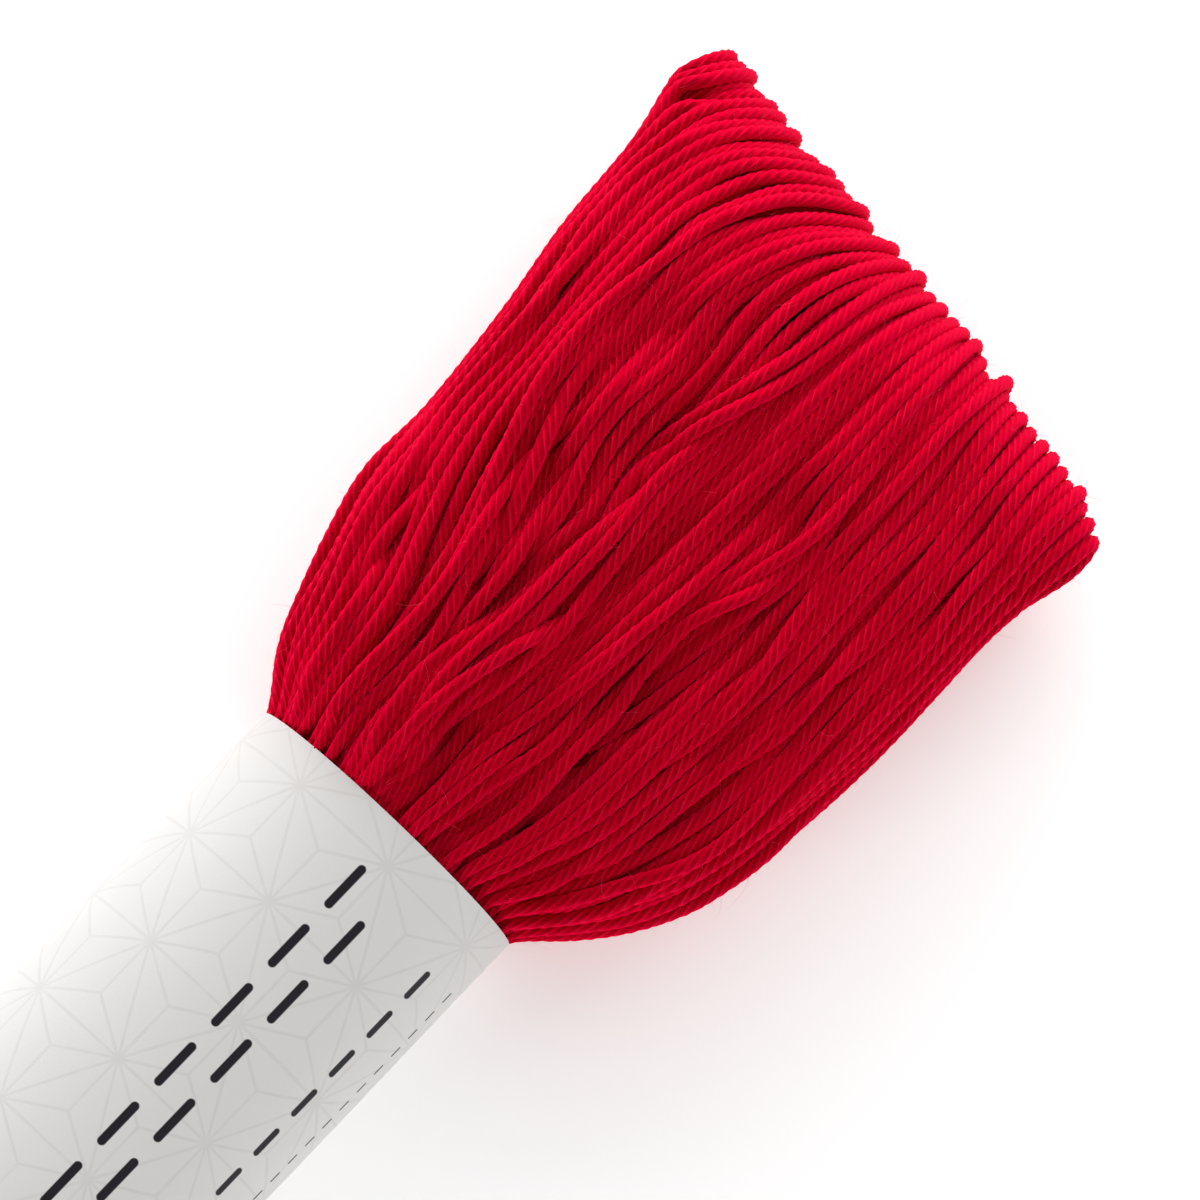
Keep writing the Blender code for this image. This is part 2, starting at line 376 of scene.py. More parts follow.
class SkeinColours(bpy.types.PropertyGroup):
    """Colours of the thread, with its painted shade, highlights and sheen, the band and the surface below.
    """

    thread: bpy.props.FloatVectorProperty(
        name="Thread", description="Lit colour of the cotton", subtype="COLOR",
        default=(0.6, 0.0, 0.0172), min=0.0, max=1.0,
    )
    # Painted shade: the darker colour that the cotton between two plies is painted, in place of the shade
    # that falls there.
    valley: bpy.props.FloatVectorProperty(
        name="Between plies", description="Colour of the cotton between two plies",
        subtype="COLOR", default=(0.39, 0.0, 0.0098), min=0.0, max=1.0,
    )
    # Painted highlight: the lighter colour painted on the brightest crests of the plies.
    painted_crest_highlight: bpy.props.FloatVectorProperty(
        name="Crests", description="Colour of the cotton on the highest plies", subtype="COLOR",
        default=(0.8, 0.004, 0.036), min=0.0, max=1.0,
    )
    # Painted sheen: the lighter colour that the cotton is painted towards where it is seen edge on.
    painted_edge_sheen: bpy.props.FloatVectorProperty(
        name="Painted_sheen", description="Down on the thread, seen edge on", subtype="COLOR",
        default=(0.98, 0.0, 0.055), min=0.0, max=1.0,
    )
    fibre: bpy.props.FloatVectorProperty(
        name="Fibre", description="Single loose fibres", subtype="COLOR",
        default=(0.85, 0.09, 0.15), min=0.0, max=1.0,
    )
    paper: bpy.props.FloatVectorProperty(
        name="Paper", description="Bare paper of the band", subtype="COLOR",
        default=(0.82, 0.81, 0.795), min=0.0, max=1.0,
    )
    print_line: bpy.props.FloatVectorProperty(
        name="Print", description="Faint lines printed on the band", subtype="COLOR",
        default=(0.715, 0.695, 0.68), min=0.0, max=1.0,
    )
    ink: bpy.props.FloatVectorProperty(
        name="Ink", description="Printed stitches on the band", subtype="COLOR",
        default=(0.012, 0.009, 0.014), min=0.0, max=1.0,
    )
    surface: bpy.props.FloatVectorProperty(
        name="Surface", description="Surface the skein lies on", subtype="COLOR",
        default=(0.93, 0.93, 0.93), min=0.0, max=1.0,
    )


# ---------------------------------------------------------------- curves and sections


def smooth(places, values, where):
    """Smooth curve through values at places, read at where and level beyond its ends."""
    places = np.asarray(places, float)
    values = np.asarray(values, float)
    slopes = np.gradient(values, places)
    where = np.clip(where, places[0], places[-1])
    index = np.clip(np.searchsorted(places, where, side="right") - 1, 0, len(places) - 2)
    step = places[index + 1] - places[index]
    part = (where - places[index]) / step
    square = part * part
    cube = square * part
    return (
        (2 * cube - 3 * square + 1) * values[index]
        + (cube - 2 * square + part) * slopes[index] * step
        + (3 * square - 2 * cube) * values[index + 1]
        + (cube - square) * slopes[index + 1] * step
    )


def table_curve(rows, key, column, where):
    """One column of a table as a smooth curve over its key column."""
    return smooth([row[key] for row in rows], [row[column] for row in rows], where)


def ease(part):
    """Smooth step from 0 to 1."""
    part = np.clip(part, 0.0, 1.0)
    return part * part * (3.0 - 2.0 * part)


def bell(offset, half):
    """One at zero, falling smoothly to nothing at a distance of half."""
    return np.where(np.abs(offset) < half, 0.5 + 0.5 * np.cos(np.pi * offset / half), 0.0)


class FanShape:
    """The outer form of a fan, which is looked up by distance out and distance round the top."""

    def __init__(self):
        self.stations = np.arange(-INSIDE_BAND, FAN_REACH + STATION_STEP, STATION_STEP)
        columns = ("left", "right", "top", "under", "round_left", "round_right")
        for column in columns:
            setattr(self, column, table_curve(FAN_SECTIONS, "along", column, self.stations))
        self.waist = self.top * WAIST_LEVEL
        angles = np.linspace(0.0, np.pi, OUTLINE_POINTS)[None, :]
        rounds = np.where(
            np.cos(angles) >= 0.0, self.round_left[:, None], self.round_right[:, None]
        )
        power = 2.0 / rounds
        across = np.sign(np.cos(angles)) * np.abs(np.cos(angles)) ** power
        upward = np.abs(np.sin(angles)) ** power
        side = np.where(across >= 0.0, self.left[:, None], self.right[:, None])
        self.y = across * side
        lean = 1.0 + across * (CREST_LEAN * ease((self.stations + 1.0) / 6.0))[:, None]
        self.z_top = self.waist[:, None] + (self.top - self.waist)[:, None] * upward * lean
        self.z_under = self.waist[:, None] - (self.waist - self.under)[:, None] * upward
        self.round_top = self.distance_round(self.z_top)
        self.round_under = self.distance_round(self.z_under)

    def distance_round(self, level):
        """Distance round the outline from its middle, positive to +Y, at each point."""
        steps = np.hypot(np.diff(self.y, axis=1), np.diff(level, axis=1))
        total = np.concatenate([np.zeros((len(steps), 1)), np.cumsum(steps, axis=1)], axis=1)
        return total[:, OUTLINE_POINTS // 2][:, None] - total

    def row_of(self, along):
        """Index of the station below each distance, and the part of a step beyond it."""
        place = (np.clip(along, self.stations[0], self.stations[-1]) + INSIDE_BAND) / STATION_STEP
        row = np.minimum(place.astype(int), len(self.stations) - 2)
        return row, place - row

    def look_up(self, along, wanted, keys, values):
        """Values of the outline where its keys are as wanted, at each distance beyond the band."""
        row, part = self.row_of(along)
        both = np.zeros((2, len(along)))
        for step in (0, 1):
            for k in np.unique(row):
                here = row == k
                line = keys[k + step][::-1], values[k + step][::-1]
                both[step, here] = np.interp(wanted[here], *line)
        return both[0] * (1.0 - part) + both[1] * part

    def point(self, along, distance, under=False):
        """(y, z) on the outline at each distance beyond the band and distance round it."""
        table = self.round_under if under else self.round_top
        level = self.z_under if under else self.z_top
        return [self.look_up(along, distance, table, value) for value in (self.y, level)]

    def round_at(self, along, across, under=False):
        """Distance round the outline at which it is so far across."""
        table = self.round_under if under else self.round_top
        return self.look_up(along, across, self.y, table)

    def at(self, name, along):
        """A column of the sections at each distance."""
        return np.interp(along, self.stations, getattr(self, name))


# ---------------------------------------------------------------- the winding


def thread_runs(shape):
    """Distance round the top of each run of THREAD_RUNS at each station."""
    rows = []
    for run in THREAD_RUNS:
        if "tuck" in run:
            tuck = smooth(RUN_PLACES, run["tuck"], shape.stations)
            left = run["name"] == "left edge"
            across = shape.left - tuck if left else tuck - shape.right
        else:
            across = smooth(RUN_PLACES, run["across"], shape.stations)
        rows.append(shape.round_at(shape.stations, across))
    # Inside the band the threads lie evenly, and beyond it they take up their own runs.
    rows = np.array(rows)
    reference = rows[:, np.argmin(np.abs(shape.stations - RUN_REFERENCE))]
    half_round = shape.round_top[:, 0]
    even = reference[:, None] / reference[0] * half_round[None, :]
    own = ease((shape.stations + 1.0) / 9.0) * 0.6 + 0.4
    return reference, even * (1.0 - own) + rows * own


def stray(random, along, size):
    """A smooth random line along a thread, about size high."""
    total = np.zeros_like(along)
    for wave, share in ((70.0, 1.0), (32.0, 0.45), (14.0, 0.14)):
        length = wave * random.uniform(0.75, 1.3)
        phase = random.uniform(0.0, 2.0 * np.pi)
        total += share * random.normal() * np.sin(2.0 * np.pi * along / length + phase)
    return size * total


def weaken(partings, share):
    """The partings as a deeper layer feels them."""
    return [{**gap, "open": gap["open"] * share, "sink": gap["sink"] * share} for gap in partings]


def part_threads(along, places, partings):
    """Sideways push and extra depth that the partings give to a thread on the top."""
    push = np.zeros_like(along)
    sink = np.zeros_like(along)
    for gap in partings:
        offset = places - gap["place"]
        near = bell(along - gap["along"], gap["run"])
        side = np.tanh(offset / PARTING_EDGE)
        push += side * gap["open"] * near * bell(offset, PARTING_HALF * 2.0)
        sink += gap["sink"] * near * bell(offset, PARTING_HALF)
    return push, sink


def furrow_waves(random):
    """Waves that together make the furrows of a fan."""
    waves = []
    for _ in range(FURROW_WAVES):
        waves.append({
            "across": 2.0 * np.pi / random.uniform(*FURROW_ACROSS),
            "along": 2.0 * np.pi / random.uniform(*FURROW_ALONG) * random.choice([-1.0, 1.0]),
            "phase": random.uniform(0.0, 2.0 * np.pi),
        })
    return waves


def inner_share(places):
    """One over most of a fan, falling off towards its smooth flanks."""
    share = 1.0
    for flank in FLANKS:
        beyond = flank["side"] * places - flank["begins"]
        share = share * (1.0 - flank["less"] * ease(beyond / flank["fades"]))
    return share


def furrow(waves, along, places):
    """How deep the threads lie at each distance along and place from thread to thread."""
    total = np.zeros_like(along)
    for wave in waves:
        total += np.sin(wave["across"] * places + wave["along"] * along + wave["phase"])
    total *= math.sqrt(2.0 / len(waves))
    depths = smooth(FURROW_PLACES, FURROW_DEPTHS, along)
    deep = np.maximum(total + 0.5, 0.0) * inner_share(places) * depths
    for hollow in HOLLOWS:
        near = bell(along - hollow["along"], hollow["run"])
        deep += hollow["deep"] * near * bell(places - hollow["place"], hollow["half"])
    return deep


class Winding:
    """The form and runs of a fan, and the course that each of its loops takes."""

    def __init__(self, random, wander):
        self.random = random
        self.wander = wander
        self.shape = FanShape()
        self.reference, self.runs = thread_runs(self.shape)
        self.order = np.argsort(self.reference)
        travel = FAN_REACH - LOOP_TURN
        turn = math.pi * TURN_LENGTH * LOOP_TURN
        total = 2.0 * (INSIDE_BAND + travel) + turn
        steps = np.linspace(0.0, total, LOOP_POINTS)
        self.angle = np.clip((steps - INSIDE_BAND - travel) / turn, 0.0, 1.0) * np.pi
        self.turning = (self.angle > 0.0) & (self.angle < np.pi)
        self.top = self.angle <= np.pi / 2.0
        straight = np.minimum(steps, total - steps) - INSIDE_BAND
        self.along = np.where(self.turning, travel + LOOP_TURN * np.sin(self.angle), straight)
        self.left = self.shape.at("left", self.along)
        self.right = self.shape.at("right", self.along)
        self.waist = self.shape.at("waist", self.along)

    def place(self, partings):
        """The partings with the place, from thread to thread, at which each one opens."""
        placed = []
        for gap in partings:
            along = np.array([gap["along"]])
            distance = self.shape.round_at(along, np.array([gap["across"]]))
            here = [np.interp(gap["along"], self.shape.stations, self.runs[k]) for k in self.order]
            place = float(np.interp(distance, here, self.reference[self.order])[0])
            placed.append({**gap, "place": place})
        return placed

    def over_top(self, start, aside, room, partings, crossing):
        """Place from thread to thread, distance across and level of a loop on the top.

        It lies aside of its start by so much, and less towards the fan's end.
        """
        shape, along = self.shape, self.along
        places = start + aside * (1.0 - 0.7 * ease((shape.stations - CALM_FROM) / 10.0))
        if crossing:
            crossed = (shape.stations - crossing["from"]) / (crossing["to"] - crossing["from"])
            places = places + crossing["shift"] * ease(crossed)
        line = np.interp(along, shape.stations, [
            np.interp(place, self.reference[self.order], self.runs[self.order, k])
            for k, place in enumerate(places)
        ])
        places = np.interp(along, shape.stations, places)
        calm = 1.0 - 0.6 * ease((along - CALM_FROM) / 12.0)
        distance = line + stray(self.random, along, self.wander) * room * calm
        left, right = (
            np.interp(along, shape.stations, shape.round_top[:, edge]) for edge in (0, -1)
        )
        distance = np.clip(distance, right * KEEP_TOP, left * KEEP_TOP)
        push, sink = part_threads(along, places, partings)
        across, level = shape.point(along, np.clip(distance + push, right, left))
        return places, across, level - sink

    def underneath(self, across, room):
        """Share of the width, distance across and level below of a loop that turns at across.

        It keeps its place across the fan and gathers evenly towards the band.
        """
        width = np.where(across > 0.0, self.left, self.right)
        share = across / width[np.argmin(self.top)]
        spread = np.clip(share / UNDER_EDGES[int(share > 0.0)], -KEEP_UNDER, KEEP_UNDER)
        aside = stray(self.random, self.along, self.wander) * room
        y = spread * width + aside * ease((FAN_REACH - self.along) / 6.0)
        y = np.clip(y, -self.right * KEEP_UNDER, self.left * KEEP_UNDER)
        distance = self.shape.round_at(self.along, y, under=True)
        return share, *self.shape.point(self.along, distance, under=True)

    def loop(self, start, aside, depth, partings, crossing=None):
        """One loop of thread: out along the top, round the end and back underneath.

        depth gives how far inside the fan's form it lies at each distance and place.
        """
        along, angle, top, waist = self.along, self.angle, self.top, self.waist
        room = self.left / self.shape.at("left", np.array([RUN_REFERENCE]))
        room = np.clip(room, 0.35, 1.0) * (1.0 - 0.6 * ease((abs(start) - 12.0) / 4.0))
        places, across, level = self.over_top(start, aside, room, partings, crossing)
        depth = depth(along, places * np.where(top, 1.0, -1.0))
        turn_across = across[np.argmin(top)]
        share, under_y, under_z = self.underneath(turn_across, room)

        # The turn joins the two levels in an arc.
        above = np.maximum(level - waist, TURN_HEIGHT)
        below = np.maximum(waist - under_z, TURN_HEIGHT)
        arc = waist + np.where(top, above, below) * np.cos(angle)
        z = np.where(self.turning, arc, np.where(top, level, under_z))
        blend = ease((angle - np.pi / 2.0) / (np.pi / 2.0))
        joining = turn_across * (1.0 - blend) + under_y * blend
        y = np.where(top, across, np.where(self.turning, joining, under_y))

        # Deeper layers are smaller all round, and each loop ends a little short or long.
        settled = ease((along - 1.0) / 6.0) * (1.0 - 0.85 * ease((along - 20.0) / 10.0))
        depth = depth + np.abs(stray(self.random, along, UNEVEN_DEPTH)) * settled
        if crossing:
            middle = 0.5 * (crossing["from"] + crossing["to"])
            over = bell(along - middle, crossing["to"] - crossing["from"])
            over *= ease((along - 1.0) / 4.0)
            depth = depth - np.where(top, CROSSING_LIFT * over, 0.0)
        height = np.where(top, self.shape.at("top", along) - waist, waist)
        y = y * (1.0 - depth / np.where(y > 0.0, self.left, self.right))
        z = waist + (z - waist) * (1.0 - depth / np.maximum(height, depth))
        ends = table_curve(FAN_ENDS, "across", "reach", np.array([share]))[0]
        reach = ends - depth.mean() * 0.5 + self.random.normal() * UNEVEN_ENDS
        x = np.where(along > 0.0, along * reach / FAN_REACH, along)
        return np.stack([x, y, z], axis=1)


def squeeze_at(along, squeeze):
    """Width of the thread at a distance beyond the band, as a part of its full width."""
    return squeeze + (1.0 - squeeze) * ease((along + 0.5) / FULL_WIDTH_AT)


def near_pairs(points, reach):
    """Index pairs of points closer than reach, found on a grid of cells."""
    cells = np.floor(points / reach).astype(np.int64)
    cells -= cells.min(axis=0) - 1
    span = cells.max(axis=0) + 2
    keys = (cells[:, 0] * span[1] + cells[:, 1]) * span[2] + cells[:, 2]
    order = np.argsort(keys, kind="stable")
    ranked = keys[order]
    first, second = [], []
    for dx in (-1, 0, 1):
        for dy in (-1, 0, 1):
            for dz in (-1, 0, 1):
                wanted = keys + (dx * span[1] + dy) * span[2] + dz
                low = np.searchsorted(ranked, wanted, side="left")
                count = np.searchsorted(ranked, wanted, side="right") - low
                owner = np.repeat(np.arange(len(points)), count)
                inside = np.arange(len(owner)) - np.repeat(np.cumsum(count) - count, count)
                other = order[np.repeat(low, count) + inside]
                keep = owner < other
                first.append(owner[keep])
                second.append(other[keep])
    first = np.concatenate(first)
    second = np.concatenate(second)
    apart = np.linalg.norm(points[first] - points[second], axis=1)
    return first[apart < reach], second[apart < reach]


# Packing: threads within this many diameters are watched, those less than this part of their
# diameters apart are pushed, so far at a time, and less where many press on one.
WATCHED = 1.25
PRESSED = 0.97
PUSH = 1.4
SHARED_PUSH = 0.35
# The part of a thread's shift that it keeps from round to round, how much less the band lets it
# keep, where the band's grip starts to loosen and ends, and the part of its radius that a thread
# stays above the surface.
KEPT_SHIFT = 0.988
BAND_GRIP = 0.4
GRIP_ENDS = (-0.8, 1.7)
LOWEST = 0.95
# Rounds between two looks for neighbours, and points along a thread that can't touch each other.
LOOK_AGAIN = 8
OWN_POINTS = 4


def settle(paths, radii, firm):
    """Push threads that share a place apart, so that they lie beside and over each other.

    firm is 1 where the band grips a thread and 0 where it is free.
    """
    loops, count, _ = paths.shape
    home = paths.reshape(-1, 3)
    radius = radii.reshape(-1)
    shift = np.zeros_like(home)
    loop_of = np.repeat(np.arange(loops), count)
    place_of = np.tile(np.arange(count), loops)
    give = KEPT_SHIFT - BAND_GRIP * firm.reshape(-1)
    for turn in range(SETTLE_ROUNDS):
        points = home + shift
        if turn % LOOK_AGAIN == 0:
            first, second = near_pairs(points, 2.0 * radius.max() * WATCHED)
            far_along = np.abs(place_of[first] - place_of[second]) > OWN_POINTS
            apart = (loop_of[first] != loop_of[second]) | far_along
            first, second = first[apart], second[apart]
        gap = points[first] - points[second]
        length = np.maximum(np.linalg.norm(gap, axis=1), 1e-6)
        overlap = np.maximum((radius[first] + radius[second]) * PRESSED - length, 0.0)
        push = gap * (0.5 * overlap / length)[:, None]
        move = np.zeros_like(shift)
        touching = np.ones(len(shift))
        for axis in range(3):
            move[:, axis] += np.bincount(first, push[:, axis], len(shift))
            move[:, axis] -= np.bincount(second, push[:, axis], len(shift))
        touching += SHARED_PUSH * np.bincount(first, overlap > 0.0, len(shift))
        touching += SHARED_PUSH * np.bincount(second, overlap > 0.0, len(shift))
        shift += PUSH * move / touching[:, None]
        grid = shift.reshape(loops, count, 3)
        for _ in range(2):
            middle = 0.5 * (grid[:, :-2] + grid[:, 2:])
            grid[:, 1:-1] += 0.5 * (middle - grid[:, 1:-1])
        shift *= give[:, None]
        low = radius * LOWEST - (home[:, 2] + shift[:, 2])
        shift[:, 2] += np.maximum(low, 0.0)
    return (home + shift).reshape(loops, count, 3)


def keep_in_mouth(paths, alongs, radii):
    """Draw in what would pass through the band's paper, and a little less just beyond it."""
    for path, along, radius in zip(paths, alongs, radii):
        near = along < MOUTH_REACH
        half_width, half_height = BAND_HOLD[0] - radius[near], BAND_HOLD[1] - radius[near]
        level = path[near, 2] - BAND_MIDDLE
        ring = np.hypot(path[near, 1] / half_width, level / half_height)
        limit = 1.0 + MOUTH_SPREAD * np.maximum(along[near], 0.0)
        share = np.minimum(limit / np.maximum(ring, 1e-6), 1.0)
        path[near, 1] *= share
        path[near, 2] = BAND_MIDDLE + level * share


def small_partings(random):
    """Little partings anywhere on the top of a fan."""
    spans = {"along": (3.0, 32.0), "across": (-12.0, 12.0), "run": (3.0, 7.0),
             "open": (0.1, 0.34), "sink": (0.1, 0.5)}
    return [
        {name: random.uniform(*span) for name, span in spans.items()}
        for _ in range(SMALL_PARTINGS)
    ]


def wind_fan(sizes, seed, partings, crossings):
    """All loops of a fan, packed together: their paths, distances beyond the band and layers."""
    random = np.random.default_rng(seed)
    winding = Winding(random, sizes.wander / MM)
    lowest, highest = winding.reference.min(), winding.reference.max()
    partings = winding.place(partings + small_partings(random))
    paths, layers = [], []
    thread = sizes.thread / MM
    waves = furrow_waves(random)

    def depth_of(layer, dive=0.0, begins=OTHERS_BEGIN, grows=DIVE_GROWS[1]):
        """Depth of a thread that dives so deep where it is nearer to the band than begins."""
        def depth(along, places):
            dived = dive * ease((begins - along) / grows) * ease((along + 1.0) / 4.0)
            dived *= inner_share(places)
            home = OUTERMOST * thread + LAYER_STEP * thread * layer
            return home + dived + furrow(waves, along, places)
        return depth

    for layer, (fewer, diving) in enumerate(zip(FEWER_LOOPS, DIVES)):
        loops = sizes.loops - fewer
        pitch = (highest - lowest) / loops
        gaps = weaken(partings, diving["parted"])
        for k in range(loops):
            even = lowest + pitch * (k + 0.5)
            aside = pitch * random.uniform(-0.3, 0.3) * (0.4 + 0.6 * inner_share(even))
            dives = random.uniform() < diving["share"]
            depth = depth_of(
                layer, diving["dive"] if dives else diving["others"],
                random.uniform(*DIVE_BEGINS) if dives else OTHERS_BEGIN,
                random.uniform(*DIVE_GROWS),
            )
            paths.append(winding.loop(even, aside, depth, gaps))
            layers.append(layer)
    for start in FILLING_LOOPS:
        paths.append(winding.loop(start, 0.0, depth_of(0.5), partings))
        layers.append(0)
    for crossing in crossings:
        paths.append(winding.loop(crossing["across"], 0.0, depth_of(0), partings, crossing))
        layers.append(0)
    alongs = np.tile(winding.along, (len(paths), 1))
    radii = 0.5 * thread * squeeze_at(alongs, sizes.squeeze)
    firm = 1.0 - ease((alongs - GRIP_ENDS[0]) / (GRIP_ENDS[1] - GRIP_ENDS[0]))
    paths = settle(np.array(paths), radii, firm)
    keep_in_mouth(paths, alongs, radii)
    return paths, alongs, np.array(layers)


def even_steps(path, along, spacing):
    """A path and its distances beyond the band, smoothly refined to even steps."""
    chord = np.linalg.norm(np.diff(path, axis=0), axis=1)
    length = np.concatenate([[0.0], np.cumsum(chord)])
    count = int(length[-1] / spacing) + 1
    where = np.linspace(0.0, length[-1], count)
    refined = np.stack([smooth(length, path[:, axis], where) for axis in range(3)], axis=1)
    return refined, np.interp(where, length, along), where


# ---------------------------------------------------------------- making meshes


def only_select(piece):
    """Select one object and make it active."""
    bpy.ops.object.select_all(action="DESELECT")
    piece.select_set(True)
    bpy.context.view_layer.objects.active = piece


def turn_outwards(mesh, close_ends=False):
    """Turn every face outwards, after the open ends of threads are closed, and shade it smooth."""
    work = bmesh.new()
    work.from_mesh(mesh)
    if close_ends:
        bmesh.ops.holes_fill(work, edges=[edge for edge in work.edges if edge.is_boundary])
    bmesh.ops.recalc_face_normals(work, faces=work.faces)
    work.to_mesh(mesh)
    work.free()
    mesh.shade_smooth()


def read_points(mesh):
    """Places of a mesh's points, one row each."""
    places = np.zeros(len(mesh.vertices) * 3)
    mesh.vertices.foreach_get("co", places)
    return places.reshape(-1, 3)


def write_points(mesh, x, y, z):
    """Move a mesh's points to places in millimetres."""
    mesh.vertices.foreach_set("co", (np.stack([x, y, z], axis=1) * MM).ravel())


def corner_points(mesh):
    """Number of the point at each corner of a mesh's faces."""
    corners = np.zeros(len(mesh.loops), np.int32)
    mesh.loops.foreach_get("vertex_index", corners)
    return corners


def write_uv_map(mesh, name, places):
    """Give a mesh one UV map, with a place for each corner of its faces."""
    while mesh.uv_layers:
        mesh.uv_layers.remove(mesh.uv_layers[0])
    layer = mesh.uv_layers.new(name=name)
    layer.uv.foreach_set("vector", places.astype(np.float32).ravel())


def ply_outline(points, valley):
    """A curve with the outline of the thread: a small ring with a valley between two plies."""
    bpy.ops.curve.primitive_bezier_circle_add(radius=1.0)
    ring = bpy.context.object
    ring.name = "ply_outline"
    ring.data.splines.clear()
    spline = ring.data.splines.new("POLY")
    spline.points.add(points - 1)
    for k, point in enumerate(spline.points):
        angle = 2.0 * math.pi * k / points
        radius = 1.0 if k % 2 == 0 else 1.0 - valley
        point.co = (radius * math.cos(angle), radius * math.sin(angle), 0.0, 1.0)
    spline.use_cyclic_u = True
    return ring


def sweep(name, lines, widths, turns, sides, valley):
    """A small outline swept along each line, as one mesh.

    Lines are in metres, widths are radii in millimetres, and turns are the outline's angle.
    """
    outline = ply_outline(sides, valley)
    curve = bpy.data.curves.new(name, "CURVE")
    curve.dimensions = "3D"
    curve.twist_mode = "MINIMUM"
    curve.bevel_mode = "OBJECT"
    curve.bevel_object = outline
    for line, width, turn in zip(lines, widths, turns):
        spline = curve.splines.new("POLY")
        spline.points.add(len(line) - 1)
        spots = np.ones((len(line), 4), np.float32)
        spots[:, :3] = line
        spline.points.foreach_set("co", spots.ravel())
        spline.points.foreach_set("radius", (width * MM).astype(np.float32))
        spline.points.foreach_set("tilt", turn.astype(np.float32))
    piece = bpy.data.objects.new(name, curve)
    bpy.context.scene.collection.objects.link(piece)
    only_select(piece)
    bpy.ops.object.convert(target="MESH")
    bpy.data.objects.remove(outline, do_unlink=True)
    return bpy.context.object


def write_thread_facts(mesh, lengths, numbers, rings, sides, lobed, lay, plies):
    """Write the thread's length and ply as a UV map in millimetres and plies, and its number."""
    length = np.repeat(np.concatenate(lengths), sides)
    number = np.repeat(np.concatenate(numbers), sides)
    column = np.tile(np.arange(sides), sum(rings))
    if len(column) != len(mesh.vertices):
        raise RuntimeError("the swept thread has another number of points than its outline gives")
    corners = corner_points(mesh)
    turns = column[corners].reshape(-1, 4).astype(float)
    wraps = turns.max(axis=1) - turns.min(axis=1) > sides / 2
    turns[wraps] = np.where(turns[wraps] == 0, sides, turns[wraps])
    ply = turns.ravel() / sides * plies
    if not lobed:
        ply = ply - length[corners] / lay * plies
    write_uv_map(mesh, "thread", np.stack([length[corners], ply], axis=1))
    attribute = mesh.attributes.new("loop_number", "FLOAT", "POINT")
    attribute.data.foreach_set("value", number.astype(np.float32))


def thread_mesh(name, paths, alongs, sizes, place, spacing, sides, lobed, random):
    """Loops of thread as one mesh, with its length, ply and loop number for the material.

    place turns a path in fan millimetres into metres. A lobed thread is swept with its plies'
    outline, turned with the lay. A plain one is round, and the lay is left to the material.
    """
    thread = sizes.thread / MM
    lay = sizes.lay / MM
    lines, widths, turns, lengths, numbers = [], [], [], [], []
    for path, along in zip(paths, alongs):
        refined, out, length = even_steps(path, along, spacing)
        lines.append(place(refined))
        widths.append(0.5 * thread * squeeze_at(out, sizes.squeeze) * random.uniform(0.97, 1.04))
        turns.append(-2.0 * np.pi * length / lay * float(lobed))
        lengths.append(length + random.uniform(0.0, 50.0))
        numbers.append(np.full(len(refined), random.uniform()))
    piece = sweep(name, lines, widths, turns, sides, PLY_VALLEY if lobed else 0.0)
    rings = [len(line) for line in lines]
    write_thread_facts(piece.data, lengths, numbers, rings, sides, lobed, lay, sizes.plies)
    turn_outwards(piece.data, close_ends=True)
    return piece


def fibre_lines(paths, alongs, sizes, count, random):
    """Fine loose fibres that stand off the threads, as short bent lines in fan millimetres."""
    thread = sizes.thread / MM
    loops, points, _ = paths.shape
    lines = []
    while len(lines) < count:
        loop = random.integers(loops)
        k = random.integers(2, points - 2)
        if alongs[loop, k] < FIBRES_FROM:
            continue
        spot = paths[loop, k]
        run = paths[loop, k + 1] - paths[loop, k - 1]
        run /= np.linalg.norm(run)
        outward = (spot - FAN_HEART) / FAN_SPREAD
        outward[0] = max(outward[0], 0.0)
        outward += random.normal(0.0, 0.35, 3)
        outward -= run * outward.dot(run)
        outward /= np.linalg.norm(outward)
        length = FIBRE_LENGTH * random.uniform(0.35, 1.0) ** 2
        lean = random.uniform(-1.0, 1.0)
        heading = outward * random.uniform(0.25, 1.0) + run * lean
        bend = random.normal(0.0, 0.6, 3)
        part = np.linspace(0.0, 1.0, FIBRE_POINTS)[:, None]
        curved = heading * part + bend * part * part * 0.6
        line = spot + outward * thread * FIBRE_ROOT + length * curved
        if line[:, 2].min() > FIBRE_CLEAR:
            lines.append(line)
    return lines


def hair_lines(paths):
    """The longer hairs that lie over the top of the shown fan, in fan millimetres."""
    top = paths.reshape(-1, 3)
    lines = []
    for hair in HAIRS:
        part = np.linspace(-0.5, 0.5, FIBRE_POINTS)
        turn = math.radians(hair["heading"])
        run = part * hair["length"]
        side = (part * part - 0.25) * hair["bend"] * hair["length"]
        x = hair["along"] + run * math.cos(turn) - side * math.sin(turn)
        y = hair["across"] + run * math.sin(turn) + side * math.cos(turn)
        z = []
        for spot in zip(x, y):
            near = np.linalg.norm(top[:, :2] - spot, axis=1) < HAIR_REACH
            z.append(top[near, 2].max() + HAIR_LIFT)
        lines.append(np.stack([x, y, np.full(FIBRE_POINTS, max(z))], axis=1))
    return lines


def make_fibres(name, lines, place, material):
    """One piece of fine fibres along the given lines."""
    taper = np.linspace(1.0, FIBRE_TIP, FIBRE_POINTS)
    widths = [FIBRE_RADIUS * taper for _ in lines]
    turns = [np.zeros(FIBRE_POINTS) for _ in lines]
    piece = sweep(name, [place(line) for line in lines], widths, turns, 3, 0.0)
    turn_outwards(piece.data, close_ends=True)
    piece.data.materials.append(material)
    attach(piece, BODY)
    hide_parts("skein")


# ---------------------------------------------------------------- materials


def new_material(name):
    """An empty material with its Principled shader, as (material, node tree, shader)."""
    material = bpy.data.materials.new(name)
    material.use_nodes = True
    tree = material.node_tree
    return material, tree, tree.nodes["Principled BSDF"]


